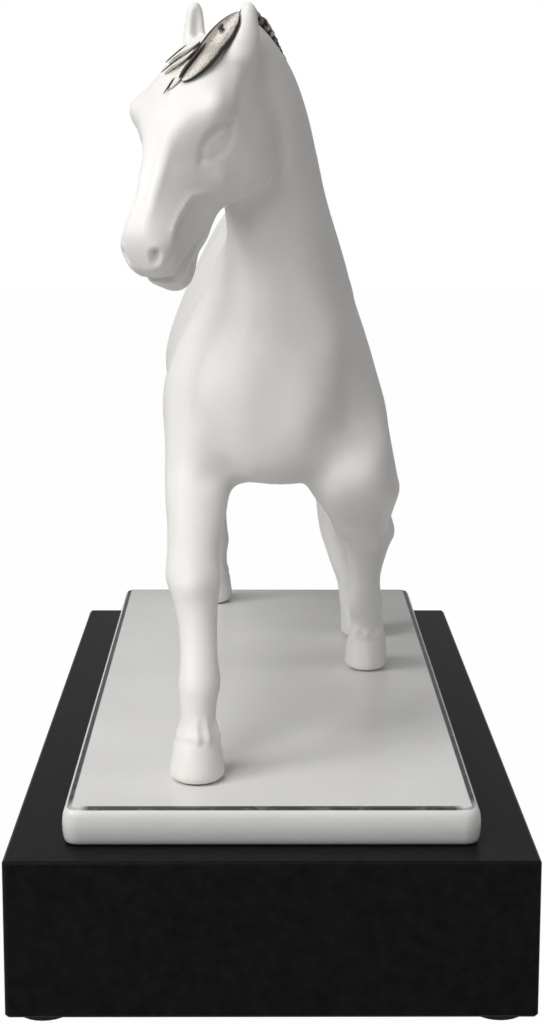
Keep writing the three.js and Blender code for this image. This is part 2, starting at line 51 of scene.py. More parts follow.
# Catmull-Rom spline from b to c: half of 2b + (c - a)u + (2a - 5b + 4c - d)u^2 + (3b - a - 3c + d)u^3
def spline(a, b, c, d, u):
    return 0.5 * (2 * b + (c - a) * u + (2 * a - 5 * b + 4 * c - d) * u ** 2
                  + (3 * b - a - 3 * c + d) * u ** 3)


# Curves through a table's rows: every column follows the spline from row to row
def through(table, steps):
    rows = np.asarray(table, float)
    padded = np.vstack([rows[:1], rows, rows[-1:]])
    t = np.linspace(0, len(rows) - 1, (len(rows) - 1) * steps + 1)
    i = np.minimum(t.astype(int), len(rows) - 2)
    return spline(*(padded[i + k] for k in range(4)), (t - i)[:, None])


# Unit vectors: each vector over its own length
def unit(v):
    return v / np.linalg.norm(v, axis=-1, keepdims=True)


# Superellipse rings: cos and sin of the turn, to the power 2 / squareness, times the reach on that side
def ringLoft(centre, acrossDir, upDir, across, up, down, squareUp, squareDown, sides):
    turn = np.linspace(0, 2 * np.pi, sides, endpoint=False)[None, :]
    c, s = np.cos(turn), np.sin(turn)
    acrossDir, upDir = (np.broadcast_to(d, centre.shape)[:, None] for d in (acrossDir, upDir))
    squareUp, squareDown = (np.broadcast_to(q, len(centre))[:, None] for q in (squareUp, squareDown))
    power = np.where(s >= 0, 2 / squareUp, 2 / squareDown)
    reach = np.where(s >= 0, up[:, None], down[:, None])
    u = np.sign(c) * np.abs(c) ** power * across[:, None]
    v = np.sign(s) * np.abs(s) ** power * reach
    return centre[:, None] + u[..., None] * acrossDir + v[..., None] * upDir


# A grid of rings made one closed skin: quads between rings and a fan to the mean point at each end.
# The faces are turned round where the skin's signed volume, the sum of a . (b x c), is below nought
def tube(grid):
    n, m, _ = grid.shape
    points = np.vstack([grid.reshape(-1, 3), grid[0].mean(0), grid[-1].mean(0)])
    r, k = np.meshgrid(np.arange(n - 1), np.arange(m), indexing="ij")
    a, b = r * m + k, r * m + (k + 1) % m
    quads = np.stack([a, b, b + m, a + m], -1).reshape(-1, 4)
    k = np.arange(m)
    first = np.stack([np.full(m, n * m), (k + 1) % m, k], -1)
    last = np.stack([np.full(m, n * m + 1), (n - 1) * m + k, (n - 1) * m + (k + 1) % m], -1)
    fans = np.vstack([first, last])
    tris = np.vstack([quads[:, [0, 1, 2]], quads[:, [0, 2, 3]], fans])
    a, b, c = (points[tris[:, k]] for k in range(3))
    outwards = np.einsum("ij,ij->i", a, np.cross(b, c)).sum() >= 0
    return points, [quads, fans] if outwards else [quads[:, ::-1], fans[:, ::-1]]


# Parts put one after another: each part's face numbers grow by the count of points before it
def joined(parts):
    points, faces, start = [], [], 0
    for p, groups in parts:
        points.append(p)
        faces += [g + start for g in groups]
        start += len(p)
    return np.vstack(points), faces


# Every face of a mesh shaded smooth
def smoothAll(mesh):
    mesh.polygons.foreach_set("use_smooth", np.full(len(mesh.polygons), True))
    mesh.update()


# A smooth mesh object in the scene, from points and arrays of face corners
def meshObject(name, points, faces):
    mesh = bpy.data.meshes.new(name)
    mesh.from_pydata(points.tolist(), [], [f for group in faces for f in group.tolist()])
    obj = bpy.data.objects.new(name, mesh)
    scene.collection.objects.link(obj)
    smoothAll(mesh)
    return obj


# An object with its modifiers worked into its mesh
def applied(obj):
    graph = bpy.context.evaluated_depsgraph_get()
    mesh = bpy.data.meshes.new_from_object(obj.evaluated_get(graph))
    obj.modifiers.clear()
    old = obj.data
    obj.data = mesh
    bpy.data.meshes.remove(old)
    return obj


# A mesh's items as rows of an array, such as x, y, z of its points or the two ends of its edges
def rowsOf(items, field, width, kind=float):
    values = np.empty(len(items) * width, kind)
    items.foreach_get(field, values)
    return values.reshape(-1, width)


# A mesh's points put at new places
def putPoints(mesh, points):
    mesh.vertices.foreach_set("co", points.ravel())
    mesh.update()


# A named value on each point of a mesh, for its finish to read
def putAttribute(mesh, name, kind, field, values):
    mesh.attributes.new(name, kind, "POINT").data.foreach_set(field, values.ravel())


# From millimetres above the plinth's top to the scene's metres
def onPlinth(points):
    return (points + (0, 0, plinthTop)) * millimetre


# Relaxing: each point moves by its weight towards the mean of its neighbours
def relax(points, ends, weight, rounds):
    count = len(points)
    degree = np.bincount(ends.ravel(), minlength=count)[:, None]
    share = np.reshape(weight, (-1, 1))
    one, other = ends.T.copy()
    for _ in range(rounds):
        total = np.stack([np.bincount(one, points[other, k], count)
                          + np.bincount(other, points[one, k], count) for k in range(3)], -1)
        points = points + share * (total / degree - points)
    return points


# A swelling: the amount times a bell of the distance from a centre, each axis over its own radius
def swell(at, centre, radii, amount):
    far = (((at - np.asarray(centre, float)) / np.asarray(radii, float)) ** 2).sum(-1)
    return amount * np.exp(-far)


# A line's bell: the amount falls off with the distance to the nearest point of a run of straight pieces
def along(at, line, width, amount):
    line = np.asarray(line, float)
    near = np.full(len(at), np.inf)
    for a, b in zip(line[:-1], line[1:]):
        t = np.clip((at - a) @ (b - a) / ((b - a) @ (b - a)), 0, 1)
        near = np.minimum(near, ((at - a - t[:, None] * (b - a)) ** 2).sum(-1))
    return amount * np.exp(-near / width ** 2)


# Relief: every swelling and then every line's bell is added to the push of each point
def carve(push, at, forms, lines):
    for x, y, z, a, b, c, amount in forms:
        push += swell(at, (x, y, z), (a, b, c), amount)
    for line, width, amount in lines:
        push += along(at, line, width, amount)


# The horse's torso

torso = {
    "steps": 5,  # rings from one section to the next
    "sides": 96,
    "sections": [  # y, x, half width, top, widest, bottom, squareness above, below
        [-95.5, 2.4, 7, 132, 117, 104, 2, 2],
        [-93, 2.4, 15, 147, 115, 95, 1.9, 2.1],
        [-85, 2.6, 24, 162, 113, 88.5, 1.6, 2.2],
        [-68, 2.8, 31, 175, 110, 85.5, 1.38, 2.3],
        [-48, 2.8, 35.4, 184, 111, 84.5, 1.3, 2.4],
        [-26, 1.4, 36.4, 189.5, 114, 83.5, 1.28, 2.4],
        [-2, 0, 37, 186, 119, 82.5, 1.34, 2.3],
        [22, -0.8, 37.8, 182, 120, 84, 1.38, 2.2],
        [46, -0.4, 37, 184, 122, 91, 1.4, 2.1],
        [68, 0.6, 35, 187.5, 128, 100, 1.42, 2],
        [88, 1, 32, 184, 133, 107, 1.5, 2],
        [103, 1, 26, 175, 137, 114, 1.7, 2],
        [112, 1, 17, 163, 140, 123, 1.9, 2],
        [115.5, 1, 7, 152, 142, 132, 2, 2],
    ],
}


# Torso: upright superellipse sections square to the way the horse walks
def torsoTube():
    y, x, half, top, widest, low, squareUp, squareDown = through(torso["sections"], torso["steps"]).T
    centre = np.stack([x, y, widest], -1)
    return tube(ringLoft(centre, (1, 0, 0), (0, 0, 1), half, top - widest, widest - low,
                         squareUp, squareDown, torso["sides"]))


# The horse's neck

neck = {
    "steps": 7,
    "sides": 72,
    "squareness": (1.9, 1.85),  # towards the crest, towards the throat
    "sections": [  # x, y, z of the spine, half width, reach to the crest, to the throat, twist in degrees
        [3.2, -40, 140, 26, 36, 36, 0],
        [3.4, -55, 156, 21.6, 33, 33.5, -4],
        [2.4, -66, 171, 16.6, 28, 28, -14],
        [-0.6, -73, 185, 13.4, 25.2, 22.5, -29],
        [-2.4, -78, 199, 12.2, 20.6, 18.5, -34],
        [-5.4, -83.5, 212, 11.6, 17.4, 16, -36],
        [-9.6, -89, 223, 10.8, 13.6, 12, -38],
        [-13, -93, 230.5, 8, 10.4, 8, -38],
    ],
}


# Frames along the neck's spine: its run, and the level direction across it, turned by the twist
def spineFrames(steps):
    table = through(neck["sections"], steps)
    centre = table[:, :3]
    run = unit(np.gradient(centre, axis=0))
    side = np.array([1.0, 0, 0])
    across = unit(side - run * (run @ side)[:, None])
    crest = np.cross(run, across)
    crest = crest * np.sign(crest[:, 1:2])
    twist = np.radians(table[:, 6:7])
    c, s = np.cos(twist), np.sin(twist)
    return table, centre, run, across * c + crest * s, crest * c - across * s


# Neck: superellipse sections square to a spine that rises and bends, twisted as the head turns
def neckTube():
    table, centre, _, across, crest = spineFrames(neck["steps"])
    half, up, down = table[:, 3:6].T
    return tube(ringLoft(centre, across, crest, half, up, down, *neck["squareness"], neck["sides"]))


# The horse's head

head = {
    "turn": -38,  # degrees from the way it walks
    "tilt": -25,
    "poll": (-18, -96, 227.5),
    "steps": 6,
    "curve": 9,  # points on each of a section's eight curves
    "sections": [  # z, front y, front edge x y, widest x y, jaw edge x y, jaw y
        [4, 0.5, 4, 0.8, 8, 3, 5, 6.4, 7],
        [1.5, -3.6, 7, -2.8, 12, 2.4, 8, 10, 12.4],
        [-7, -9.4, 8.8, -7.6, 14.4, 1, 10.4, 19, 23],
        [-16, -12.4, 10.8, -10, 15.8, -1.4, 12.2, 25.2, 29.4],
        [-25, -13.6, 13.4, -11, 17.6, -3, 13.2, 28, 32],
        [-33, -13.4, 9.4, -11.6, 15.4, 1, 12.8, 27, 31],
        [-41, -12.2, 5.4, -10.9, 12, 3.4, 11.2, 21.4, 25],
        [-49, -11.2, 4.5, -10.2, 9.6, 3.4, 8, 15.4, 19],
        [-57, -10.9, 4, -10, 8.9, 1.6, 6.2, 15, 19.2],
        [-63, -11.3, 4.6, -10.4, 9.4, 0, 5.8, 15, 18.8],
        [-68, -10.4, 5.6, -9.2, 10, -0.6, 5.9, 14.2, 17.6],
        [-72.2, -7, 5.6, -5.8, 9, 1.4, 5.5, 13.6, 16.8],
        [-75.4, -1.6, 4.6, -0.4, 6.6, 5, 4.5, 12.4, 15],
        [-76.7, 4.4, 2.6, 5, 3.2, 7.6, 2.4, 10.4, 11.6],
    ],
}

headTurn, faceTilt = np.radians(head["turn"]), np.radians(head["tilt"])
turned = [[np.cos(headTurn), -np.sin(headTurn), 0], [np.sin(headTurn), np.cos(headTurn), 0], [0, 0, 1]]
tilted = [[1, 0, 0], [0, np.cos(faceTilt), -np.sin(faceTilt)], [0, np.sin(faceTilt), np.cos(faceTilt)]]
headSpin = np.array(turned) @ np.array(tilted)


# From the head's own axes, x to its left, y from face to jaw and z from muzzle to poll: spun, then moved
def fromHead(local):
    return np.asarray(local, float) @ headSpin.T + np.array(head["poll"])


# To the head's own axes: moved back, then spun back
def toHead(points):
    return (points - np.array(head["poll"])) @ headSpin


# Head: eight outline points a section, rounded by a closed spline, then stacked
def headTube():
    z, frontY, edgeX, edgeY, wideX, wideY, jawX, jawY, backY = through(head["sections"], head["steps"]).T
    zero = np.zeros_like(z)
    corners = [(zero, frontY), (edgeX, edgeY), (wideX, wideY), (jawX, jawY), (zero, backY),
               (-jawX, jawY), (-wideX, wideY), (-edgeX, edgeY)]
    net = np.stack([np.stack(c, -1) for c in corners], 1)
    t = np.arange(len(corners) * head["curve"]) / head["curve"]
    i = t.astype(int)
    ring = spline(*(net[:, (i + k) % len(corners)] for k in (-1, 0, 1, 2)), (t - i)[None, :, None])
    height = np.broadcast_to(z[:, None, None], ring.shape[:2] + (1,))
    return tube(fromHead(np.concatenate([ring, height], -1)))


# The horse's legs

legs = {
    "steps": 6,
    "sides": 48,
    "deep": (15, 24, 2.8),  # reach forwards where a section grows square, over how much more, at most
    "hoofReach": 15,
    "coronet": [(14.4, 1.5, 0.2), (12.6, 0.8, -0.25)],  # height, width, amount of the band and its groove
    "sections": {  # x, y, z, half width, reach forwards, reach back
        "foreRight": [
            [-16, -48, 142, 11, 15, 15],
            [-19.8, -54, 122, 14.6, 18, 16],
            [-22.6, -62, 104, 14, 16, 15],
            [-23.8, -72, 90, 12.4, 14, 12.5],
            [-24.4, -83, 77, 9.8, 11, 10.5],
            [-25.2, -92, 67, 8.5, 9.6, 9.4],
            [-25, -98, 59.5, 8.3, 9.4, 8.6],
            [-24.1, -102, 52.5, 7.2, 8, 7.6],
            [-23.2, -107, 43, 6.2, 6.8, 7],
            [-22.9, -111.5, 35, 6.2, 6.8, 7.2],
            [-22.9, -114.5, 29, 6.6, 7.2, 8.4],
            [-23, -116.8, 23, 5.9, 6.4, 7.6],
            [-23.1, -118, 17.5, 5.7, 7, 7.6],
            [-23.3, -118.6, 13.6, 7, 8.4, 8.4],
            [-23.4, -119.6, 9, 7.9, 9.8, 8.8],
            [-23.4, -120.8, 3, 8.8, 11, 9.4],
            [-23.4, -121, 0.3, 8.9, 11.2, 9.6],
        ],
        "foreLeft": [
            [18, -50, 138, 11, 15, 15],
            [22, -53, 118, 15, 18, 17],
            [24.4, -58, 104, 15.8, 27, 17],
            [25.6, -58, 94, 15.2, 33, 16],
            [27.6, -54, 84, 15.2, 35, 15],
            [29.8, -47, 75.5, 12.2, 32, 14],
            [31.6, -38, 68, 10.4, 25, 11],
            [34, -26, 60, 9.8, 15, 9],
            [34.9, -18.8, 54, 7.9, 9.2, 8.4],
            [35, -8, 43, 6, 7.6, 8],
            [35.2, -1.5, 35.5, 6, 7.6, 8.4],
            [35.8, 4, 29, 6.9, 8, 9.6],
            [36.4, 9.6, 23, 6.2, 7.4, 8.6],
            [37, 14.5, 17.5, 6.3, 8, 8.4],
            [37.2, 18, 13, 7.2, 9.4, 9],
            [37.2, 20, 8.6, 7.7, 10.4, 9.4],
            [37.1, 21.2, 3, 8.1, 11, 10],
            [37.1, 21.4, 0.3, 8.2, 11.2, 10.2],
        ],
        "hindRight": [
            [-12, 72, 158, 9, 18, 16],
            [-16, 74, 142, 13.5, 25, 24],
            [-19.4, 78, 124, 15.8, 27, 26],
            [-21.6, 84, 107, 14.6, 23, 22],
            [-22.6, 92, 92, 12, 17, 16],
            [-23.2, 102, 78, 9.4, 11.5, 11],
            [-23.6, 111, 68, 8, 9.4, 10.6],
            [-24, 116.6, 60, 8.2, 9.6, 11],
            [-24, 119.5, 52, 7.4, 8.6, 9],
            [-23.8, 123.4, 42, 6.3, 7.2, 7.6],
            [-23.6, 126.8, 34, 6.4, 7.2, 7.8],
            [-23.6, 129.4, 28.4, 7, 7.6, 9],
            [-23.7, 132.4, 22.6, 6.2, 7, 8],
            [-23.8, 135, 17, 6.3, 7.6, 8],
            [-23.8, 136.6, 13, 7.2, 8.8, 8.6],
            [-23.8, 137.6, 8.6, 7.8, 10, 9],
            [-23.8, 138.2, 3, 8.4, 11, 9.8],
            [-23.8, 138.4, 0.3, 8.6, 11.2, 10],
        ],
        "hindLeft": [
            [14, 66, 158, 11, 18, 16],
            [18, 66, 142, 15, 25, 24],
            [19.4, 68, 124, 15.8, 27, 26],
            [19.8, 72, 107, 15.4, 23, 22],
            [21, 79, 92, 14, 17, 16],
            [22.6, 85.5, 78, 11.6, 12, 11.5],
            [25, 90, 68, 9.6, 9.8, 10.6],
            [27.6, 91.6, 60, 8.8, 9.8, 11],
            [27.6, 88.6, 52, 8, 8.8, 9],
            [28.2, 83.6, 42, 7.2, 7.4, 7.8],
            [30.4, 79.6, 34, 6.8, 7.4, 8],
            [33, 77, 28.4, 7.4, 7.8, 9],
            [35, 75.4, 22.6, 7.2, 7, 8],
            [36.4, 74.4, 17, 7.6, 7.6, 8],
            [37.4, 74, 13, 8.2, 8.8, 8.6],
            [38, 74, 8.6, 8.5, 10, 9],
            [38.2, 74, 3, 8.7, 10.8, 9.8],
            [38.2, 74, 0.3, 8.8, 11, 10],
        ],
    },
}


# Leg: level oval sections from inside the body to the sole, squarer in front where they reach far forwards
def legTube(rows):
    x, y, z, wide, front, back = through(rows, legs["steps"]).T
    start, rise, most = legs["deep"]
    squareFront = np.clip(2 + (front - start) / rise, 2, most)
    centre = np.stack([x, y, z], -1)
    return tube(ringLoft(centre, (1, 0, 0), (0, 1, 0), wide, back, front, 2, squareFront, legs["sides"]))


# Coronet over a hoof: the sum of two bells of the height, held to the points around the leg's sole
def coronet(points, rows):
    x, y = rows[-1][:2]
    near = np.exp(-(((points[:, 0] - x) ** 2 + (points[:, 1] - y) ** 2) / legs["hoofReach"] ** 2) ** 4)
    band, groove = (amount * np.exp(-((points[:, 2] - height) / width) ** 2)
                    for height, width, amount in legs["coronet"])
    return near * (band + groove)


# The horse's ears, the right one -1 and the left one 1

ear = {
    "outline": {  # share of its length, width, thickness
        -1: [[0, 1.3, 1.4], [0.25, 1.24, 1.2], [0.45, 1.14, 1.02], [0.62, 1.02, 0.9], [0.78, 0.88, 0.78],
             [0.9, 0.7, 0.62], [0.97, 0.44, 0.4], [1, 0.12, 0.12]],
        1: [[0, 2.4, 2.4], [0.2, 2.1, 2.1], [0.4, 1.7, 1.7], [0.62, 1.26, 1.3], [0.78, 0.98, 1.02],
            [0.9, 0.74, 0.8], [0.97, 0.46, 0.5], [1, 0.12, 0.12]]},
    "halfWidth": 3.25,
    "halfThickness": 2.9,
    "root": {-1: (-7.6, 3.6, -7), 1: (9.6, 1.6, -6)},
    "tip": {-1: (-8.2, -4.6, 12.6), 1: (11.8, -2.4, 12.8)},
    "facing": {-1: 58, 1: -62},  # degrees that its hollow turns from straight ahead
    "bow": 0.8,
    "steps": 5,
    "sides": 32,
    "lookUp": 0.15,  # its hollow's own rise, beside one straight ahead
    "free": (0.14, 0.2),  # share of its length where it leaves the head, over how much more
    "near": 6,
    "hollowDepth": [(0.1, 0), (0.35, 1.7), (0.7, 1.3), (0.93, 0)],
    "hollowWidth": [(0.1, 1.3), (0.4, 1.9), (0.95, 0.7)],
    "hollowReach": (4, 5),  # across, ahead
}


# An ear's frame: its root, the rise to its tip, and the direction its hollow looks, made square to the rise
def earFrame(side):
    root, tip = fromHead(np.array([ear["root"][side], ear["tip"][side]]))
    rise = tip - root
    angle = np.radians(ear["facing"][side]) + headTurn
    front = np.array([np.sin(angle), -np.cos(angle), ear["lookUp"]])
    front = unit(front - unit(rise) * (front @ unit(rise)))
    return root, rise, front, np.cross(unit(rise), front)


# Ear: oval sections from root to tip, the width and thickness following a leaf's outline
def earTube(side):
    share, wide, thick = through(ear["outline"][side], ear["steps"]).T
    root, rise, front, across = earFrame(side)
    bow = np.sin(np.pi * share) * ear["bow"]
    centre = root + share[:, None] * rise - bow[:, None] * front
    wide, thick = ear["halfWidth"] * wide, ear["halfThickness"] * thick
    return tube(ringLoft(centre, across, front, wide, thick, thick, 2, 2, ear["sides"]))


# Points measured on an ear: share of the way up, distance across and distance ahead
def earMeasures(points, side):
    root, rise, front, across = earFrame(side)
    away = points - root
    return away @ rise / (rise @ rise), away @ across, away @ front


# One on the free part of an ear, none below its root
def onEar(points, side):
    up, aside, ahead = earMeasures(points, side)
    start, more = ear["free"]
    return np.clip((up - start) / more, 0, 1) * (np.hypot(aside, ahead) < ear["near"])


# Ear's hollow: a furrow along its front, exp(-(across / width)^4) deep, deepest a third of the way up
def earHollow(points, side):
    up, aside, ahead = earMeasures(points, side)
    depth = np.interp(up, *np.array(ear["hollowDepth"]).T, 0, 0)
    width = np.interp(up, *np.array(ear["hollowWidth"]).T)
    inside = (ahead > 0) * (np.abs(aside) < ear["hollowReach"][0]) * (np.abs(ahead) < ear["hollowReach"][1])
    return -depth * np.exp(-(aside / width) ** 4) * inside


# The face, in the head's own axes and the same on both sides

face = {
    "forms": [  # x, y, z, radii, amount in mm
        (15.4, -9, -26, 3.6, 4.4, 5, 1.5),  # brow
        (15.4, -2, -33, 3.6, 3.4, 6.4, -2),  # socket
        (15.8, -1.8, -31.6, 1.7, 1.6, 2.4, 1.2),  # eyeball
        (11.8, 6.4, -41.4, 3.6, 3.6, 3, 1.3),  # cheek bone under the eye
        (13.6, 17, -31, 5, 9, 11, 1.5),  # cheek
        (0, 30, -38, 3.6, 6, 16, -2.2),  # channel between the jaws
        (6.6, -6, -72.4, 3.2, 3.2, 4, 0.9),  # nostril's rim
        (0, -12, -60, 5, 3, 5, -0.4),
        (4.4, -1, -74.6, 4, 3.4, 3, 0.9),  # upper lip
        (5.4, 9.6, -73, 3, 3.4, 3.6, 0.9),  # lower lip
        (0, 16, -71, 4.6, 4, 4, 1.0),  # chin
        (0, 19.4, -63, 5, 4, 3.6, -1.3),  # behind the chin
        (0, -13.4, -20, 7, 4, 10, 0.5),  # forehead
    ],
    "lines": [  # points, width, amount
        ([(16.9, -1, -26.8), (15.4, -4.8, -30), (13.8, -5.4, -34), (12.2, -4, -38), (11.4, -2, -40)],
         1.2, -1.6),  # upper edge of the eye
        ([(17.2, 0, -27), (16.2, 2.2, -30.4), (14.9, 2.4, -34.4), (13, 0.8, -37.8), (11.4, -2, -40)],
         1.1, -0.6),  # lower edge of the eye
        ([(16.4, -5.4, -27), (14.8, -7.2, -31), (12.8, -7, -36)], 1.5, 0.3),  # upper lid
        ([(4.6, -11, -38), (4.6, -10.6, -50), (4.6, -10.6, -60)], 1.5, 0.35),  # nose bone
        ([(11, 10, -44), (9.4, 5.6, -47), (8.9, -0.2, -51), (8.5, -2, -57), (9, -3.6, -63)],
         1.2, 0.55),  # cheek ridge
        ([(13.6, 1.6, 4), (14.2, -1.4, -7), (15.6, -3, -17), (17, -4, -25)], 2.4, 0.45),  # ear to brow
        ([(0, 4.6, -77.2), (4.6, 5.2, -75.8), (7, 5.8, -72.6), (7.4, 7.2, -69), (6.8, 9.8, -64),
          (6, 12.2, -59.6)], 1.2, -3.6),  # mouth
        ([(5.6, 11, -74), (6, 13, -68), (5.4, 15, -62)], 3.2, -1.5),  # lower jaw
        ([(6, -4.6, -74), (6.4, -5.8, -72)], 1.2, -3.4),  # nostril
        ([(13.6, 32, -24), (13.6, 31, -33), (12.4, 26.4, -40.5), (10.6, 20.6, -47)],
         2.2, -1.4),  # behind the jaw
    ],
    "cheekRidge": [  # from under the eye to the lip: height on the head, y of the ridge, step behind it
        (-78, -2, 0), (-74.6, -2.4, 0.5), (-71, -3.4, 1.1), (-62, -3.4, 1.7), (-57, -1.8, 2),
        (-51, 0, 1.9), (-47, 5.8, 1.4), (-44, 10.4, 0.9), (-40, 15, 0),
    ],
    "cheekDrop": (0.6, 3),  # mm before the ridge where the step starts, and over how much
    "cheekFade": (8, 6),  # mm behind the ridge where it fades, and over how much
    "cheekFrom": 1,  # mm from the middle of the face
}


# Step behind the ridge: a smooth drop, 3s^2 - 2s^3, that fades again towards the jaw's edge
def cheekStep(local):
    z, y, step = np.array(face["cheekRidge"]).T
    past = local[:, 1] - np.interp(local[:, 2], z, y)
    depth = np.interp(local[:, 2], z, step, 0, 0)
    before, over = face["cheekDrop"]
    drop = np.clip((past + before) / over, 0, 1)
    drop = drop * drop * (3 - 2 * drop)
    fadeFrom, fadeOver = face["cheekFade"]
    fade = np.exp(-np.clip((past - fadeFrom) / fadeOver, 0, None) ** 2)
    return -depth * drop * fade * (local[:, 0] > face["cheekFrom"])


# The horse's skin

horse = {
    "trunkVoxel": 1.5,  # mm between the points of torso, neck and legs while they are blended
    "voxel": 0.62,  # mm between skin points before thinning
    "quickVoxel": 1.4,  # times coarser, for a quicker skin
    "triangles": 190000,
    "lowest": 0.3,  # mm between the plinth's top and the soles
    "blendRounds": 60,
    "blendSpots": [  # x, y, z, radius: where the parts run into one another
        (-20, -66, 100, 22), (24, -44, 102, 20), (-18, 82, 118, 30), (19, 72, 116, 30),
        (2, -62, 160, 34), (-4, -84, 156, 28), (2, -40, 182, 24), (-30, -58, 124, 30), (34, -54, 124, 30),
        (-16, -84, 112, 18), (20, -80, 112, 20),
    ],
    "blendMost": (0.9, 1.4, 1.6),  # most weight, gain, sharpness of a spot's edge
    "smoothing": (0.5, 6),  # weight and rounds over all of it
    "earSmoothing": 0.12,  # least share of that weight, on the ears
    "napeSpots": [(0, 14, -4, 20, 13, 14, 1), (16, 20, -16, 8, 8, 8, 0.6)],  # head's own place, radii, share
    "napeSmoothing": (1.5, 0.9, 80),  # gain, most weight, rounds
    "lastSmoothing": (0.35, 3),
    "forms": [  # x, y, z, radii, amount in mm
        (-34.1, -93.8, 214.8, 6, 7, 8, -2.2),  # right temple
        (-27, -55, 140, 10, 18, 28, 1.4), (30, -50, 144, 10, 18, 24, 0.4),  # shoulder blades
        (-20, -84, 118, 10, 9, 13, 2.4), (20, -84, 126, 8, 8, 10, 0.8),  # points of the shoulder
        (-34, -50, 112, 7, 13, 14, 2), (38, -46, 106, 6, 12, 10, 1.6),  # upper arms
        (26, -84, 116, 7, 9, 15, -2.4),  # before the left shoulder
        (36, -68, 90, 7, 10, 8, 1.2),  # top of the left forearm
        (40, -54, 82, 6, 10, 5, 1.6), (-26, -83, 103, 8, 8, 7, 1.4),
        (-9, -92, 112, 7, 7, 16, 1.8), (13, -92, 112, 8, 7, 15, 1.4),  # breast muscles
        (-34, 46, 128, 8, 14, 14, -1.8), (34, 46, 128, 8, 14, 14, -1.8),  # flanks
        (-22, 50, 170, 7, 8, 8, 1.2), (23, 50, 170, 7, 8, 8, 1.2),  # hips
        (-31, 64, 112, 8, 10, 12, 1.8), (31, 58, 112, 8, 10, 12, 1.8),  # stifles
        (-14, 112, 146, 9, 8, 16, 1.4), (16, 112, 146, 9, 8, 16, 1.4),  # buttocks
        (-25, -108, 60, 6, 4, 6, 1.2), (34.5, -37, 63, 8, 8, 7, 3.2),  # knees
        (-33.4, -98, 60, 4, 6, 6, 0.7), (-17, -98, 59, 4, 6, 6, 0.8), (-17.4, -111, 28, 4, 5, 4, 0.7),
        (-24, 128, 66, 4, 4, 7, 1.8), (24, 103, 66, 4, 4, 7, 1.8),  # points of the hocks
        (-23, -105, 28, 5, 4, 4, 1.0), (36, 13, 26, 5, 4, 4, 1.0),  # fetlock tufts
        (-24, 139, 26, 5, 4, 4, 1.0), (35, 87, 26, 5, 4, 4, 1.0),
    ],
    "lines": [  # points, width, amount
        ([(-18, -68, 172), (-24, -62, 156), (-31, -52, 136)], 4, -0.9),  # behind the right shoulder
        ([(-28, -80, 88), (-22, -84, 89), (-15, -87, 92)], 5, -1.3),  # under the right upper arm
        ([(-23.4, -125, 19), (-22.9, -127.4, 13)], 0.9, 0.9),  # hair over the right hoof
        ([(-20, -124, 19), (-19.6, -126, 13)], 0.9, 0.9),
        ([(-17.4, -120, 18), (-16.4, -121, 12.6)], 0.9, 0.9),
        ([(33.4, 9, 18), (32.6, 7.8, 12.6)], 1, 0.9), ([(37, 7.6, 18), (37.2, 6.6, 12.6)], 1, 0.9),
        ([(41, 9.6, 18), (41.8, 8.4, 12.6)], 1, 0.9), ([(31, 3, 27), (30.6, 5, 21)], 1.6, 0.9),
        ([(34, -66, 98), (39, -54, 93), (38, -40, 92)], 2.6, -2.0),  # round the left forearm
        ([(37, -52, 73), (38, -40, 71)], 2, -1.2),
        ([(20, -92, 106), (32, -78, 108)], 6, -1.3),  # over the left forearm
        ([(25, -62, 76), (39, -52, 74)], 4.5, -2.4),  # over the left knee
        ([(-0.5, -8, 188), (-1, 30, 186), (0.4, 70, 190), (1, 100, 180)], 3, -0.8),  # spine
        ([(-19, 76, 96), (-28, 98, 122), (-22, 108, 152)], 4, -1.2),  # back of the thighs
        ([(19, 72, 96), (30, 96, 122), (24, 108, 152)], 4, -1.2),
        ([(-30, -100, 51), (-29.4, -108, 36)], 1.4, -0.8), ([(-18, -100, 51), (-17, -108, 36)], 1.4, -0.8),
        ([(42, -12, 50), (41.6, 2, 36)], 1.4, -0.8), ([(28.6, -12, 50), (29, 2, 36)], 1.4, -0.8),  # tendons
        ([(-31, 121, 52), (-30, 129, 36)], 1.4, -0.8), ([(-17, 121, 52), (-17, 129, 36)], 1.4, -0.8),
        ([(34.5, 91, 52), (39, 82, 36)], 1.4, -0.8), ([(20.5, 91, 52), (26.4, 82, 36)], 1.4, -0.8),
        ([(-32, 104, 92), (-30, 117, 74)], 2.4, -1.2), ([(-15, 104, 92), (-17, 117, 74)], 2.4, -1.2),
        ([(33, 90, 92), (31, 95, 74)], 2.4, -1.2), ([(9, 90, 92), (14, 95, 74)], 2.4, -1.2),  # hamstrings
    ],
}


# Voxel skin over closed parts, as one mesh
def skinOver(parts, voxel):
    points, faces = joined(parts)
    skin = meshObject("horseBody", points, faces)
    mod = skin.modifiers.new("skin", "REMESH")
    mod.mode, mod.voxel_size, mod.use_smooth_shade = "VOXEL", voxel, True
    return applied(skin)


# Blending weight: the largest of the spots' bells, exp(-sharpness (distance / radius)^4), times a gain
def blendWeight(points):
    most, gain, sharpness = horse["blendMost"]
    weight = np.zeros(len(points))
    for x, y, z, radius in horse["blendSpots"]:
        far = ((points - (x, y, z)) ** 2).sum(-1) / radius ** 2
        weight = np.maximum(weight, np.exp(-sharpness * far ** 2))
    return most * np.clip(weight * gain, 0, 1)


# Trunk: torso, neck and legs under one coarse skin, relaxed where they run into one another
def makeTrunk():
    tubes = [torsoTube(), neckTube()] + [legTube(rows) for rows in legs["sections"].values()]
    trunk = skinOver(tubes, horse["trunkVoxel"])
    mesh = trunk.data
    points, ends = rowsOf(mesh.vertices, "co", 3), rowsOf(mesh.edges, "vertices", 2, int)
    points = relax(points, ends, blendWeight(points), horse["blendRounds"])
    faces = [np.array([p.vertices[:] for p in mesh.polygons])]
    bpy.data.objects.remove(trunk)
    print("trunk blended", len(points))
    return points, faces


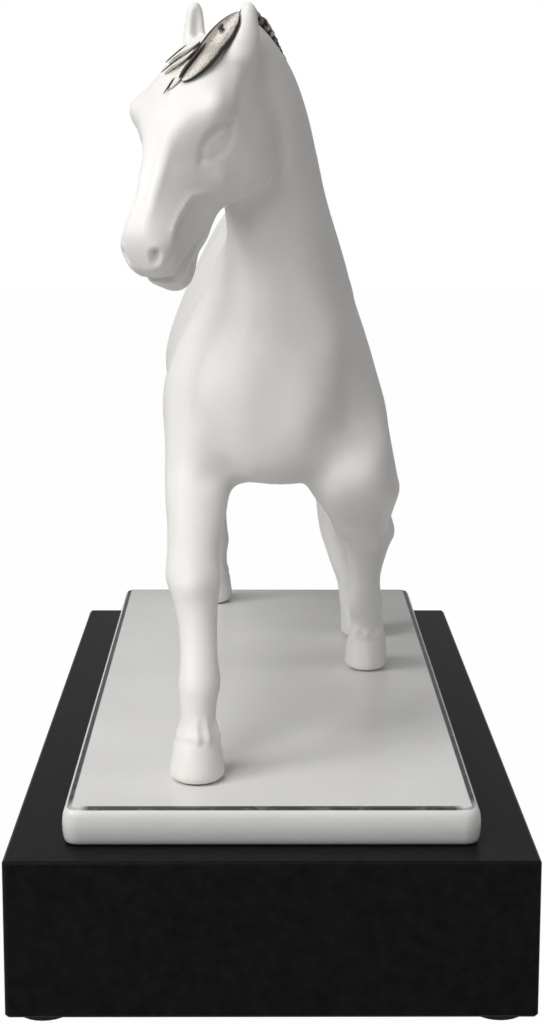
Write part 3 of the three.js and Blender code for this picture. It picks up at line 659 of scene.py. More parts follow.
# Nape's weight: the gain times the sum of its spots' bells, none on the ears
def napeWeight(points, soft):
    gain, most, _ = horse["napeSmoothing"]
    weight = np.zeros(len(points))
    carve(weight, toHead(points), horse["napeSpots"], [])
    return np.clip(gain * weight, 0, most) * soft


# How far each point is pushed along its normal: face, ears, muscles and coronets added up
def pushOut(points):
    local = toHead(points)
    local[:, 0] = np.abs(local[:, 0])
    push = cheekStep(local) + earHollow(points, -1) + earHollow(points, 1)
    carve(push, local, face["forms"], face["lines"])
    carve(push, points, horse["forms"], horse["lines"])
    for rows in legs["sections"].values():
        push += coronet(points, rows)
    return push


# Horse: one fine skin over trunk, head and ears, smoothed, pushed out along its normals and thinned
def makeBody():
    parts = [makeTrunk(), headTube(), earTube(-1), earTube(1)]
    body = skinOver(parts, horse["voxel"] * (1))
    mesh = body.data
    points, ends = rowsOf(mesh.vertices, "co", 3), rowsOf(mesh.edges, "vertices", 2, int)
    soft = 1 - np.maximum(onEar(points, -1), onEar(points, 1))
    weight, rounds = horse["smoothing"]
    points = relax(points, ends, weight * np.maximum(soft, horse["earSmoothing"]), rounds)
    points = relax(points, ends, napeWeight(points, soft), horse["napeSmoothing"][-1])
    putPoints(mesh, points)
    normals = rowsOf(mesh.vertex_normals, "vector", 3)
    points = points + normals * pushOut(points)[:, None]
    points = relax(points, ends, *horse["lastSmoothing"])
    points[:, 2] = np.maximum(points[:, 2], horse["lowest"])
    putPoints(mesh, onPlinth(points))
    thin = body.modifiers.new("thin", "DECIMATE")
    thin.ratio = min(1, horse["triangles"] / (2 * len(mesh.polygons)))
    applied(body)
    smoothAll(body.data)
    print("horse's skin", len(body.data.polygons), "faces")
    return body


body = makeBody()
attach(body, "root")
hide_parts("torso", "neck", "head", "leg_fore_right", "leg_fore_left",
            "leg_hind_right", "leg_hind_left", "ear_right", "ear_left")


# Hair

hair = {
    "flatness": 0.8,  # power of the sine across a lock's thickness
    "ridgeTwist": 2.2,  # radians that the ridges turn from root to tip
    "leaf": [(0, 0.05), (0.05, 0.26), (0.13, 0.58), (0.22, 0.8), (0.32, 0.95), (0.45, 1), (0.6, 1),
             (0.72, 0.92), (0.82, 0.73), (0.9, 0.5), (0.96, 0.26), (1, 0.05)],  # place along, width
    "scallop": [(0, 0.25), (0.1, 0.8), (0.3, 1), (0.6, 0.85), (0.85, 0.5), (1, 0.08)],
}


# Lock of hair: flattened round sections along a curve, with ridges that are cosines of the turn.
# Each point's place on its lock, across from -1 to 1 and along from 0 to 1, goes with the grid
def lockOf(path, acrossDir, halfWidth, halfThickness, tone, style):
    centre = through(path, style["steps"])
    run = unit(np.gradient(centre, axis=0))
    acrossDir = np.broadcast_to(np.asarray(acrossDir, float), run.shape)
    across = unit(acrossDir - run * (run * acrossDir).sum(-1, keepdims=True))
    out = np.cross(run, across)
    t = np.linspace(0, 1, len(centre))
    wide = np.interp(t, *np.array(hair[style["outline"]]).T)[:, None]
    t = t[:, None]
    turn = np.linspace(0, 2 * np.pi, style["sides"], endpoint=False)[None, :]
    ridge = 1 + style["relief"] * np.cos(style["ridges"] * turn + hair["ridgeTwist"] * t) * np.sqrt(wide)
    c, s = np.cos(turn), np.sin(turn)
    u = c * halfWidth * wide * (0.5 + 0.5 * ridge)
    v = np.sign(s) * np.abs(s) ** hair["flatness"] * halfThickness * np.sqrt(wide) * ridge
    v = v - style["cup"] * (u / halfWidth) ** 2
    grid = centre[:, None] + u[..., None] * across[:, None] + v[..., None] * out[:, None]
    places = np.stack([np.broadcast_to(c, u.shape), np.broadcast_to(t, u.shape)], -1)
    return grid, places, tone


# Locks joined into one piece; "lay" keeps each point's place across and along its lock, and the lock's tone
def hairPiece(name, locks):
    rows = []
    for _, places, tone in locks:
        place = np.vstack([places.reshape(-1, 2), places[0].mean(0), places[-1].mean(0)])
        rows.append(np.column_stack([place, np.full(len(place), tone)]))
    points, faces = joined([tube(grid) for grid, _, _ in locks])
    piece = meshObject(name, onPlinth(points), faces)
    putAttribute(piece.data, "lay", "FLOAT_VECTOR", "vector", np.vstack(rows))
    return piece


forelock = {
    "leaf": [(10.6, -4.6, 8.4), (9.4, -5.6, 5), (7.8, -6.8, 1), (6.6, -8.4, -4.2), (6.6, -10.9, -10),
             (6, -12.8, -15.2), (4.6, -13.8, -19.2)],
    "leafShape": ((1, 0.2, 0.3), 5, 0.8, 0.5),  # direction across, half width, half thickness, tone
    "leafStyle": {"outline": "leaf", "ridges": 12, "relief": 0.03, "steps": 14, "sides": 96, "cup": 1.2},
    "wisps": [  # path in the head's own points, half width, tone
        ([(1.2, -7.4, -2.6), (-1.2, -9.5, -7.2), (-5.2, -11.4, -12)], 2.7, 1.0),
        ([(2, -9.6, -6.6), (-0.4, -11.6, -11.6), (-4.4, -12.6, -16)], 2.7, 1.0),
        ([(3, -11.2, -10.6), (1.8, -12.8, -16), (-0.2, -13.9, -22.2)], 2.5, 1.0),
        ([(-1.9, -9.6, -4.8), (-3.9, -11, -8.4), (-5.8, -12.2, -12)], 0.24, 0.0),
        ([(-0.2, -11.8, -9.6), (-2.6, -13, -13), (-5, -13.6, -16)], 0.28, 0.0),
        ([(1.2, -14, -18), (0.6, -14.5, -20.6), (-0.4, -14.8, -23.8)], 0.22, 0.0),
        ([(6, -10, -4.6), (5.2, -12.2, -10), (4.4, -13.9, -14.8), (3.9, -14.8, -18.6)], 0.8, 0.0),
        ([(8.9, -8.2, 2.6), (8.1, -8.6, 0.6)], 0.9, 0.1),
    ],
    "wispAcross": (0.75, 0, 0.66),
    "wispThickness": [(0.3, 0.22), (0.8, 0.4), (1.5, 0.5)],  # half width, half thickness
    "wispStyle": {"outline": "leaf", "ridges": 8, "relief": 0.06, "steps": 12, "sides": 48, "cup": 0},
}


# Forelock: a broad cupped leaf and thin wisps laid over the forehead, as locks along the head's own points
def makeForelock():
    across, half, thick, tone = forelock["leafShape"]
    across = headSpin @ unit(np.array(across))
    locks = [lockOf(fromHead(forelock["leaf"]), across, half, thick, tone, forelock["leafStyle"])]
    across = headSpin @ unit(np.array(forelock["wispAcross"]))
    for path, half, tone in forelock["wisps"]:
        thick = np.interp(half, *np.array(forelock["wispThickness"]).T)
        locks.append(lockOf(fromHead(path), across, half, thick, tone, forelock["wispStyle"]))
    return hairPiece("horseForelock", locks)


mane = {
    "locks": 22,
    "seed": 5,
    "steps": 12,  # places to hang a lock from one of the neck's sections to the next
    "halfWidth": 3.5,
    "halfThickness": 1.5,
    "topShare": 0.985,
    "bottomShare": 0.2,
    "turns": [0, 0.3, 0.55, 0.8, 1],  # shares of the way from the root down the right side
    "root": [(0.2, 8), (0.66, 0), (0.82, -14), (0.93, -24), (1, -30)],  # share of the neck, degrees left
    "proud": [(0.55, -0.2), (0.8, 0.9)],  # share of the neck, mm above its skin
    "reach": 58,  # degrees down the right side
    "sweep": -7,  # mm down the neck from root to tip
    "squareness": 1.7,
    "tone": 0.52,
    "loose": {"turn": (-4, 4), "proud": (-0.2, 0.4), "width": (0.9, 1.15), "tone": (0.7, 1.3)},
    "style": {"outline": "scallop", "ridges": 8, "relief": 0.16, "steps": 7, "sides": 56, "cup": 0},
}


# Mane: each lock starts by the crest and follows the neck's own superellipse section down its right side
def makeMane():
    rng = np.random.default_rng(mane["seed"])
    table, centre, run, across, crest = spineFrames(mane["steps"])
    loose, power = mane["loose"], 2 / mane["squareness"]
    locks = []
    for share in np.linspace(mane["topShare"], mane["bottomShare"], mane["locks"]):
        k = int(round(share * (len(centre) - 1)))
        first = np.interp(share, *np.array(mane["root"]).T)
        turns = first + (mane["reach"] - first) * np.array(mane["turns"]) + rng.uniform(*loose["turn"])
        turns = np.radians(turns)
        proud = np.interp(share, *np.array(mane["proud"]).T) + rng.uniform(*loose["proud"])
        aside = np.sign(np.sin(turns)) * np.abs(np.sin(turns)) ** power * -(table[k, 3] + proud)
        up = np.abs(np.cos(turns)) ** power * (table[k, 4] + proud)
        lay = np.clip(turns / turns[-1], 0, 1)[:, None]
        path = centre[k] + aside[:, None] * across[k] + up[:, None] * crest[k] + mane["sweep"] * lay * run[k]
        half = mane["halfWidth"] * rng.uniform(*loose["width"])
        tone = mane["tone"] * rng.uniform(*loose["tone"])
        locks.append(lockOf(path, run[k], half, mane["halfThickness"], tone, mane["style"]))
    return hairPiece("horseMane", locks)


tail = {
    "dock": (1, 104.5, 168.5),
    "strands": 9,  # the last one in the middle of the others
    "seed": 11,
    "steps": 6,
    "length": 106,
    "fall": [  # how far back, drop, share of the spread
        (-6, 0, 0.4), (7, -3, 0.55), (16.5, 4, 0.75), (21.5, 22, 0.95), (22.5, 46, 1),
        (20.5, 72, 0.82), (17.5, 92, 0.5), (13.5, 106, 0.12),
    ],
    "spread": 4.6,
    "depth": 0.72,  # share of the spread from front to back
    "sway": (0.5, 5),  # mm, radians from root to tip
    "quarterTurn": 1.57,  # a strand's flat side faces away from the middle
    "halfWidth": 3.3,
    "halfThickness": 2.1,
    "tone": 0.42,
    "loose": {"sway": (0, 6), "tip": (0, 0.08), "tone": (0.75, 1.25)},
    "style": {"outline": "scallop", "ridges": 7, "relief": 0.12, "steps": 8, "sides": 48, "cup": 0},
}


# Tail: strands leave the dock in one bundle, arch back, hang and draw together to a point
def makeTail():
    rng = np.random.default_rng(tail["seed"])
    back, drop, width = np.array(tail["fall"]).T
    drop = drop / drop[-1] * tail["length"]
    loose, steps = tail["loose"], tail["steps"]
    sway, swayTurn = tail["sway"]
    middle, rows = tail["strands"] - 1, len(drop)
    locks = []
    for i in range(tail["strands"]):
        angle = 2 * np.pi * i / middle
        ring = 0 if i == middle else tail["spread"]
        aside = sway * np.sin(np.linspace(0, swayTurn, rows) + rng.uniform(*loose["sway"]))
        x = np.cos(angle) * ring * width + aside
        y = np.sin(angle) * ring * tail["depth"] * width
        end = np.clip(np.linspace(0, 1, rows), 0, 1 - rng.uniform(*loose["tip"]))
        path = np.array(tail["dock"]) + np.stack([x, back + y, -drop], -1)
        path = through(path, steps)[np.round(end * (rows - 1) * steps).astype(int)]
        flat = angle + tail["quarterTurn"]
        tone = tail["tone"] * rng.uniform(*loose["tone"])
        locks.append(lockOf(path, (np.cos(flat), np.sin(flat), 0), tail["halfWidth"], tail["halfThickness"],
                            tone, tail["style"]))
    return hairPiece("horseTail", locks)


hairPieces = {"horseForelock": makeForelock(), "horseMane": makeMane(), "horseTail": makeTail()}
covers = {"horseForelock": "forelock", "horseMane": "mane_lock", "horseTail": "tail"}
for pieceName, piece in hairPieces.items():
    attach(piece, "root")
    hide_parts(*[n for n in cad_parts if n.startswith(covers[pieceName])])
print("hair laid")


# Plinth

plinth = {
    "profile": [  # inset, height, stripe, stripe along the front
        (6, 0, 0, 0), (1.5, 0, 0, 0), (1.1, 0.05, 0, 0), (0.85, 0.35, 0, 0), (0.55, 0.9, 0, 0),
        (0.3, 2, 0, 0), (0.1, 3.6, 0, 0), (0, 5.4, 0, 0), (0.06, 7, 0, 0), (0.24, 8.5, 0, 0),
        (0.55, 9.6, 0, 0), (0.95, 10.35, 0, 0), (1.3, 10.7, 0, 0.2), (1.46, 10.78, 0.8, 1),
        (1.62, 10.82, 1, 1), (1.74, 10.78, 1, 1), (1.85, 10.62, 1, 1), (2, 10.5, 1, 1),
        (2.15, 10.46, 1, 1), (2.3, 10.52, 1, 1), (2.45, 10.68, 1, 1), (2.6, 10.88, 1, 1),
        (2.76, 10.95, 1, 1), (2.92, 10.97, 0.8, 1), (3.1, 10.98, 0, 1), (3.8, 11, 0, 1), (4.6, 11, 0, 1),
        (4.8, 11, 0, 0), (6, 11, 0, 0),
    ],
    "corners": [(1, 1), (-1, 1), (-1, -1), (1, -1)],
    "cornerRadius": 5.4,
    "cornerSteps": 14,
    "sideSteps": 40,
    "front": (0.999, 0.97, 0.4),  # share of the way to the front edge and to its corners, stripe held there
}


# Where each point of a ring stands: the turn of its corner, and its signs, from corner to corner along a side
def roundTheEdge():
    bend = np.linspace(0, 1, plinth["cornerSteps"] + 1) * np.pi / 2
    s = np.linspace(0, 1, plinth["sideSteps"] + 1)[1:-1, None]
    turn, signs = [], []
    for k in range(4):
        a, b = np.array(plinth["corners"][k]), np.array(plinth["corners"][(k + 1) % 4])
        turn += [bend + k * np.pi / 2, np.full(len(s), (k + 1) * np.pi / 2)]
        signs += [np.repeat(a[None, :], len(bend), 0), a + (b - a) * s]
    return np.concatenate(turn), np.vstack(signs)


# Plinth: the profile's inset and height carried round a rounded rectangle, closed by fans under and on top
def makePlinth():
    low, high = (np.array(v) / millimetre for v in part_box("plinth"))
    middle, half = (low + high) / 2, (high - low) / 2
    inset, height, stripe, stripeFront = np.array(plinth["profile"]).T
    turn, signs = roundTheEdge()
    radius = plinth["cornerRadius"]
    edge = signs * (half[:2] - radius)
    reach = np.maximum(radius - inset, 0)[:, None]
    spare = np.maximum(inset - radius, 0)[:, None]
    x = middle[0] + edge[None, :, 0] - spare * signs[:, 0] + reach * np.cos(turn)
    y = middle[1] + edge[None, :, 1] - spare * signs[:, 1] + reach * np.sin(turn)
    z = np.broadcast_to(low[2] + height[:, None] * (high[2] - low[2]) / height[-1], x.shape)
    points, faces = tube(np.stack([x, y, z], -1))
    slab = meshObject("horsePlinth", points * millimetre, faces)
    frontFrom, cornerFrom, cornerStripe = plinth["front"]
    front = (signs[:, 1] < -frontFrom).astype(float)
    corner = front * (np.abs(signs[:, 0]) > cornerFrom)
    mark = stripe[:, None] * (1 - front) + stripeFront[:, None] * (front - corner)
    mark = mark + cornerStripe * stripe[:, None] * corner
    putAttribute(slab.data, "stripe", "FLOAT", "value", np.concatenate([mark.ravel(), [0, 0]]))
    return slab


slab = makePlinth()
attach(slab, "root")
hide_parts("plinth")
print("plinth made")


# Shared tools for finishes

# Sockets of a node filled by name or number: each gets a number, a colour or a link
def fill(tree, node, sockets):
    for key, value in sockets.items():
        socket = node.inputs[key]
        if isinstance(value, bpy.types.NodeSocket):
            tree.links.new(value, socket)
        else:
            socket.default_value = (*value, 1) if socket.type == "RGBA" else value


# A node of a kind, with its own settings and its sockets filled
def newNode(tree, kind, sockets, **settings):
    node = tree.nodes.new(kind)
    for setting, value in settings.items():
        setattr(node, setting, value)
    fill(tree, node, sockets)
    return node


# One sum on one, two or three values, by Blender's own name for it
def worked(tree, operation, *values, clamp=False):
    node = newNode(tree, "ShaderNodeMath", dict(enumerate(values)), operation=operation, use_clamp=clamp)
    return node.outputs[0]


# Noise at a place: its scale, octaves of detail, the roughness of those and how far it's distorted
def noiseOf(tree, place, scale, detail, roughness, distortion=0.0):
    sockets = {"Vector": place, "Scale": scale, "Detail": detail, "Roughness": roughness,
               "Distortion": distortion}
    return newNode(tree, "ShaderNodeTexNoise", sockets).outputs["Fac"]


# A node group: a place and named numbers go in, named masks come out
def groupTree(name, numbers, masks):
    tree = bpy.data.node_groups.new(name, "ShaderNodeTree")
    tree.interface.new_socket("Vector", in_out="INPUT", socket_type="NodeSocketVector")
    for label, value in numbers.items():
        socket = tree.interface.new_socket(label, in_out="INPUT", socket_type="NodeSocketFloat")
        socket.default_value = value
    for label in masks:
        tree.interface.new_socket(label, in_out="OUTPUT", socket_type="NodeSocketFloat")
    return tree, tree.nodes.new("NodeGroupInput"), tree.nodes.new("NodeGroupOutput")


effects = {
    "mottle": {"Cloud Size": 60.0, "Grain Size": 2500.0},
    "Cloud": (3.0, 0.55),  # detail, roughness
    "Grain": (2.0, 0.55),
    "edgeWear": {"Break Size": 300.0, "Reach": 0.53},
    "break": (4.0, 0.6),
    "wearGain": 14,
}


# Mottle: soft clouds that vary a tone and a fine grain for height, two noises of the object's own metres
def mottleGroup():
    tree, source, out = groupTree("mottle", effects["mottle"], ["Cloud", "Grain"])
    for label in ("Cloud", "Grain"):
        size = source.outputs[label + " Size"]
        fill(tree, out, {label: noiseOf(tree, source.outputs["Vector"], size, *effects[label])})
    return tree


# Wear: (pointiness - reach) times the gain, held between 0 and 1, then times a noise that breaks it up
def wearGroup():
    tree, source, out = groupTree("edgeWear", effects["edgeWear"], ["Wear"])
    geometry = newNode(tree, "ShaderNodeNewGeometry", {})
    noise = noiseOf(tree, source.outputs["Vector"], source.outputs["Break Size"], *effects["break"])
    above = worked(tree, "SUBTRACT", geometry.outputs["Pointiness"], source.outputs["Reach"])
    sharp = worked(tree, "MULTIPLY", above, effects["wearGain"], clamp=True)
    fill(tree, out, {"Wear": worked(tree, "MULTIPLY", sharp, noise, clamp=True)})
    return tree


mottle, edgeWear = mottleGroup(), wearGroup()


# A new finish with its tree and its main shader
def newFinish(name):
    mat = bpy.data.materials.new(name)
    mat.use_nodes = True
    return mat, mat.node_tree, mat.node_tree.nodes["Principled BSDF"]


# A new finish whose patterns lie on the object's own metres
def finishTree(name):
    mat, tree, shader = newFinish(name)
    return mat, tree, shader, newNode(tree, "ShaderNodeTexCoord", {}).outputs["Object"]


# A shared effect placed in a finish with its own numbers
def putGroup(tree, group, place, numbers):
    return newNode(tree, "ShaderNodeGroup", {"Vector": place, **numbers}, node_tree=group).outputs


# A value stored on the mesh's points
def attributeOf(tree, name):
    return newNode(tree, "ShaderNodeAttribute", {}, attribute_name=name)


# Colour ramp: straight blends between its stops, each a place and a colour
def ramp(tree, value, stops):
    node = newNode(tree, "ShaderNodeValToRGB", {"Fac": value})
    elements = node.color_ramp.elements
    while len(elements) < len(stops):
        elements.new(0.5)
    for element, (place, color) in zip(elements, stops):
        element.position = place
        element.color = (*color, 1)
    return node.outputs["Color"]


# Map range: low + (high - low)(value - fromLow) / (fromHigh - fromLow), held at both ends
def spread(tree, value, low, high, fromLow=0.0, fromHigh=1.0):
    sockets = {"Value": value, "From Min": fromLow, "From Max": fromHigh, "To Min": low, "To Max": high}
    return newNode(tree, "ShaderNodeMapRange", sockets).outputs["Result"]


# Two colours mixed: a(1 - factor) + b factor
def mixed(tree, factor, a, b):
    return newNode(tree, "ShaderNodeMix", {0: factor, 6: a, 7: b}, data_type="RGBA").outputs[2]


# Bump: a height tilts the shader's normal, by a strength and over a distance in metres
def bumpTo(tree, shader, height, strength, distance):
    bump = newNode(tree, "ShaderNodeBump", {"Height": height, "Strength": strength, "Distance": distance})
    fill(tree, shader, {"Normal": bump.outputs["Normal"]})


# Finishes

bisque = {
    "clouds": {"Cloud Size": 34.0, "Grain Size": 2600.0},
    "wear": {"Break Size": 420.0, "Reach": 0.55},
    "tones": [(0.1, (0.8, 0.778, 0.742)), (0.9, (0.905, 0.89, 0.868))],  # warm, light
    "worn": (0.89, 0.88, 0.86),
    "bump": (0.05, 0.0003),
    "surface": {"Roughness": 0.43, "Specular IOR Level": 0.3, "Subsurface Weight": 0.04,
                "Subsurface Scale": 0.002, "Subsurface Radius": (1.0, 0.9, 0.8)},
}


# Bisque: a clouded white, paler where an edge is rubbed, with a fine grain
def bisqueFinish():
    mat, tree, shader, place = finishTree("bisquePorcelain")
    clouds = putGroup(tree, mottle, place, bisque["clouds"])
    wear = putGroup(tree, edgeWear, place, bisque["wear"])
    base = ramp(tree, clouds["Cloud"], bisque["tones"])
    fill(tree, shader, {"Base Color": mixed(tree, wear["Wear"], base, bisque["worn"]), **bisque["surface"]})
    bumpTo(tree, shader, clouds["Grain"], *bisque["bump"])
    return mat


glaze = {
    "clouds": {"Cloud Size": 22.0, "Grain Size": 500.0},
    "tones": [(0.1, (0.76, 0.753, 0.735)), (0.9, (0.86, 0.855, 0.84))],  # dull, light
    "stripe": (0.03, 0.028, 0.027),
    "thinning": (160.0, 4.0, 0.65),  # scale, detail and roughness of the places where the stripe is thin
    "held": (0.9, 1.0, 0.34, 0.48),  # least and most of the stripe there, from which values of that noise
    "metal": 0.1,
    "bump": (0.05, 0.002),
    "surface": {"Specular IOR Level": 0.4, "Roughness": 0.26},
}


# Glaze: a clouded white, with the stripe's attribute times its thinning laid over it as a dark lustre
def glazeFinish():
    mat, tree, shader, place = finishTree("glazedPorcelain")
    clouds = putGroup(tree, mottle, place, glaze["clouds"])
    base = ramp(tree, clouds["Cloud"], glaze["tones"])
    held = spread(tree, noiseOf(tree, place, *glaze["thinning"]), *glaze["held"])
    stripe = worked(tree, "MULTIPLY", attributeOf(tree, "stripe").outputs["Fac"], held, clamp=True)
    fill(tree, shader, {"Base Color": mixed(tree, stripe, base, glaze["stripe"]),
                        "Metallic": worked(tree, "MULTIPLY", stripe, glaze["metal"]), **glaze["surface"]})
    bumpTo(tree, shader, clouds["Cloud"], *glaze["bump"])
    return mat


lustreMid, lustreDark = (0.3, 0.275, 0.25), (0.035, 0.03, 0.028)
lustre = {
    "clouds": {"Cloud Size": 240.0, "Grain Size": 1400.0},
    "speckle": (2600.0, 3.0, 0.7),
    "silver": [(0.28, (0.1, 0.09, 0.08)), (0.44, lustreMid), (0.62, (0.5, 0.47, 0.43))],
    "dark": [(0.4, lustreDark), (0.62, (0.14, 0.125, 0.115)), (0.74, lustreMid)],
    "cream": [(0.36, (0.5, 0.45, 0.38)), (0.46, (0.84, 0.82, 0.76))],
    "toSilver": (0, 1, 0.36, 0.46),  # low, high, from which tones of a lock
    "toCream": (0, 1, 0.7, 0.8),
    "rimShift": 0.14,  # how far a lock's dark rims stand towards its left side
    "rimWobble": 0.16,
    "rim": (0, 1, 0.74, 0.84),
    "rimOnCream": (1, 0.12, 0.7, 0.8),
    "metal": (0.75, 0.0, 0.6, 0.8),
    "roughness": (0.3, 0.55, 0.35, 0.65),
    "bump": (0.25, 0.0003),
}


# Lustre: a lock's tone picks dark, silver or cream speckle; |across - shift| plus a wobble darkens its rims
def lustreFinish():
    mat, tree, shader, place = finishTree("silverLustre")
    lay = attributeOf(tree, "lay").outputs["Vector"]
    lay = newNode(tree, "ShaderNodeSeparateXYZ", {"Vector": lay}).outputs
    across, tone = lay["X"], lay["Z"]
    speckle = noiseOf(tree, place, *lustre["speckle"])
    clouds = putGroup(tree, mottle, place, lustre["clouds"])
    dark, silver, cream = (ramp(tree, speckle, lustre[name]) for name in ("dark", "silver", "cream"))
    color = mixed(tree, spread(tree, tone, *lustre["toSilver"]), dark, silver)
    color = mixed(tree, spread(tree, tone, *lustre["toCream"]), color, cream)
    side = worked(tree, "ABSOLUTE", worked(tree, "SUBTRACT", across, lustre["rimShift"]))
    wobble = worked(tree, "MULTIPLY_ADD", clouds["Cloud"], lustre["rimWobble"], side)
    rim, hold = spread(tree, wobble, *lustre["rim"]), spread(tree, tone, *lustre["rimOnCream"])
    rim = worked(tree, "MULTIPLY", rim, hold)
    fill(tree, shader, {"Base Color": mixed(tree, rim, color, lustreDark),
                        "Metallic": spread(tree, tone, *lustre["metal"]),
                        "Roughness": spread(tree, speckle, *lustre["roughness"])})
    bumpTo(tree, shader, speckle, *lustre["bump"])
    return mat


lacquer = {
    "clouds": {"Cloud Size": 28.0, "Grain Size": 1500.0},
    "wear": {"Break Size": 260.0, "Reach": 0.52},
    "tones": [(0.3, (0.0018, 0.0018, 0.002)), (0.8, (0.0022, 0.0022, 0.0024))],
    "worn": (0.02, 0.02, 0.02),
    "bump": (0.02, 0.001),
    "surface": {"Roughness": 0.36, "Specular IOR Level": 0.035},
}


# Lacquer: a clouded black, greyer where an edge is rubbed, with slow waves in its shine
def lacquerFinish():
    mat, tree, shader, place = finishTree("blackLacquer")
    clouds = putGroup(tree, mottle, place, lacquer["clouds"])
    wear = putGroup(tree, edgeWear, place, lacquer["wear"])
    base = ramp(tree, clouds["Cloud"], lacquer["tones"])
    fill(tree, shader, {"Base Color": mixed(tree, wear["Wear"], base, lacquer["worn"]), **lacquer["surface"]})
    bumpTo(tree, shader, clouds["Cloud"], *lacquer["bump"])
    return mat


board = {
    "stretch": (14, 1, 14),  # the grain runs along the base
    "grain": (22.0, 6.0, 0.6, 0.5),
    "tones": [(0.3, (0.008, 0.007, 0.006)), (0.7, (0.03, 0.027, 0.023))],
    "roughness": (0.6, 0.85),
    "bump": (0.2, 0.0006),
}


# Board: a noise squeezed across the base gives the wood's grain, for tone, roughness and height
def boardFinish():
    mat, tree, shader, place = finishTree("stainedBoard")
    stretched = newNode(tree, "ShaderNodeMapping", {"Vector": place, "Scale": board["stretch"]})
    grain = noiseOf(tree, stretched.outputs["Vector"], *board["grain"])
    fill(tree, shader, {"Base Color": ramp(tree, grain, board["tones"]),
                        "Roughness": spread(tree, grain, *board["roughness"])})
    bumpTo(tree, shader, grain, *board["bump"])
    return mat


rubber = {
    "clouds": {"Cloud Size": 300.0, "Grain Size": 2200.0},
    "tones": [(0.3, (0.01, 0.01, 0.01)), (0.8, (0.02, 0.02, 0.02))],
    "roughness": (0.7, 0.9),
    "bump": (0.3, 0.0004),
}


# Rubber: a clouded near black, its grain both roughness and height
def rubberFinish():
    mat, tree, shader, place = finishTree("footRubber")
    clouds = putGroup(tree, mottle, place, rubber["clouds"])
    fill(tree, shader, {"Base Color": ramp(tree, clouds["Cloud"], rubber["tones"]),
                        "Roughness": spread(tree, clouds["Grain"], *rubber["roughness"])})
    bumpTo(tree, shader, clouds["Grain"], *rubber["bump"])
    return mat


# One finish on an object, in place of any it had
def dress(obj, mat):
    obj.data.materials.clear()
    obj.data.materials.append(mat)


dress(body, bisqueFinish())
dress(slab, glazeFinish())
silverLustre, blackLacquer = lustreFinish(), lacquerFinish()
stainedBoard, footRubber = boardFinish(), rubberFinish()
for piece in hairPieces.values():
    dress(piece, silverLustre)
for nodeName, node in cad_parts.items():
    if nodeName.startswith("foot"):
        dress(node, footRubber)
    elif nodeName == "base_box":
        dress(node, blackLacquer)
    elif nodeName == "bottom_board":
        dress(node, stainedBoard)
print("finishes on")


# Camera, floor and light

view = {
    "place": (-0.00432, -0.75755, 0.26146),
    "tiltDown": 10.10,
    "turnRight": 0.402,
    "roll": 0.09,
    "focal": 2090.0,  # pixels at the picture's height
    "pictureHeight": 1024,
    "sensor": 36,  # mm over that height
}


# A camera or lamp stood in the scene: its own x, y and z directions and its place are its matrix's columns
def stand(obj, side, up, away, place):
    matrix = np.eye(4)
    matrix[:3] = np.column_stack([side, up, away, place])
    obj.matrix_world = Matrix(matrix.tolist())
    scene.collection.objects.link(obj)


# Camera: looks along +Y, turned right and tilted down by its angles, then rolled about its own line of sight
def makeCamera():
    down, right, roll = (np.radians(view[k]) for k in ("tiltDown", "turnRight", "roll"))
    ahead = np.array([np.sin(right) * np.cos(down), np.cos(right) * np.cos(down), -np.sin(down)])
    side = np.array([np.cos(right), -np.sin(right), 0])
    up = np.cross(side, ahead)
    side, up = np.cos(roll) * side + np.sin(roll) * up, np.cos(roll) * up - np.sin(roll) * side
    data = bpy.data.cameras.new("camera")
    data.sensor_width = view["sensor"]
    data.lens = view["focal"] * view["sensor"] / view["pictureHeight"]
    camera = bpy.data.objects.new("camera", data)
    stand(camera, side, up, -ahead, view["place"])
    scene.camera = camera


studio = {
    "ambient": 0.035,
    "mirrored": 0.45,
    "aim": (0, -0.03, 0.16),
    "lamps": [  # name, place, size, watts
        ("keyLight", (-0.5, -1.15, 0.85), 0.5, 4.8),
        ("sideLight", (-1.05, -0.6, 0.9), 0.6, 9.2),
        ("topLight", (-0.35, -0.35, 1.45), 0.6, 6.4),
        ("fillLight", (1.0, -0.5, 0.6), 0.8, 2.4),
    ],
    "floorReach": 3,  # metres
    "floorCells": 4,
    "floorWhite": 0.985,
    "floor": {"Base Color": (0.52, 0.52, 0.52), "Roughness": 0.9, "Specular IOR Level": 0.1},
}


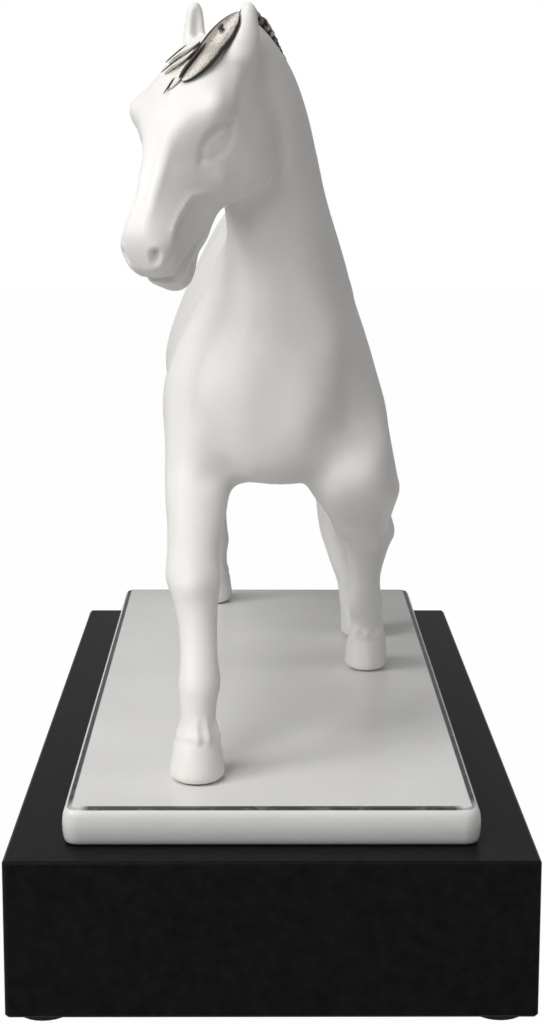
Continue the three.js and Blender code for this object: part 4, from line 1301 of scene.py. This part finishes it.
# Square lamp: its own z points from the aim back to its place
def makeLamp(name, place, size, power):
    data = bpy.data.lights.new(name, "AREA")
    data.shape = "RECTANGLE"
    data.size, data.size_y = size, size
    data.energy = power
    away = unit(np.array(place, float) - np.array(studio["aim"], float))
    side = unit(np.cross((0, 0, 1.0), away))
    stand(bpy.data.objects.new(name, data), side, np.cross(away, side), away, place)


# One for rays from the camera and through glass, less for reflections, else none: the largest of the three
def seenRay(tree):
    path = newNode(tree, "ShaderNodeLightPath", {}).outputs
    mirror = worked(tree, "MULTIPLY", path["Is Glossy Ray"], studio["mirrored"])
    first = worked(tree, "MAXIMUM", path["Is Camera Ray"], mirror)
    return worked(tree, "MAXIMUM", first, path["Is Transmission Ray"])


# World: white where it is seen, and the ambient's share of that as light
def makeWorld():
    world = bpy.data.worlds.new("studio")
    scene.world = world
    world.use_nodes = True
    tree = world.node_tree
    strength = spread(tree, seenRay(tree), studio["ambient"], 1.0)
    fill(tree, tree.nodes["Background"], {"Color": (1, 1, 1), "Strength": strength})


# Floor: a flat grid that is white where it is seen and grey to light
def makeFloor():
    reach, cells = studio["floorReach"], studio["floorCells"]
    s = np.linspace(-1, 1, cells + 1) * reach
    x, y = np.meshgrid(s, s, indexing="ij")
    points = np.stack([x, y, 0 * x], -1).reshape(-1, 3)
    row = cells + 1
    k = (np.arange(cells)[:, None] * row + np.arange(cells)[None, :]).ravel()
    floor = meshObject("floor", points, [np.stack([k, k + row, k + row + 1, k + 1], -1)])
    mat, tree, shader = newFinish("paleFloor")
    fill(tree, shader, studio["floor"])
    glow = newNode(tree, "ShaderNodeEmission", {"Strength": 1.0})
    seen = spread(tree, seenRay(tree), 0.0, studio["floorWhite"])
    sockets = {0: seen, 1: shader.outputs["BSDF"], 2: glow.outputs["Emission"]}
    blend = newNode(tree, "ShaderNodeMixShader", sockets)
    fill(tree, tree.nodes["Material Output"], {"Surface": blend.outputs["Shader"]})
    dress(floor, mat)


makeCamera()
makeFloor()
makeWorld()
for lamp in studio["lamps"]:
    makeLamp(*lamp)
print("studio lit")
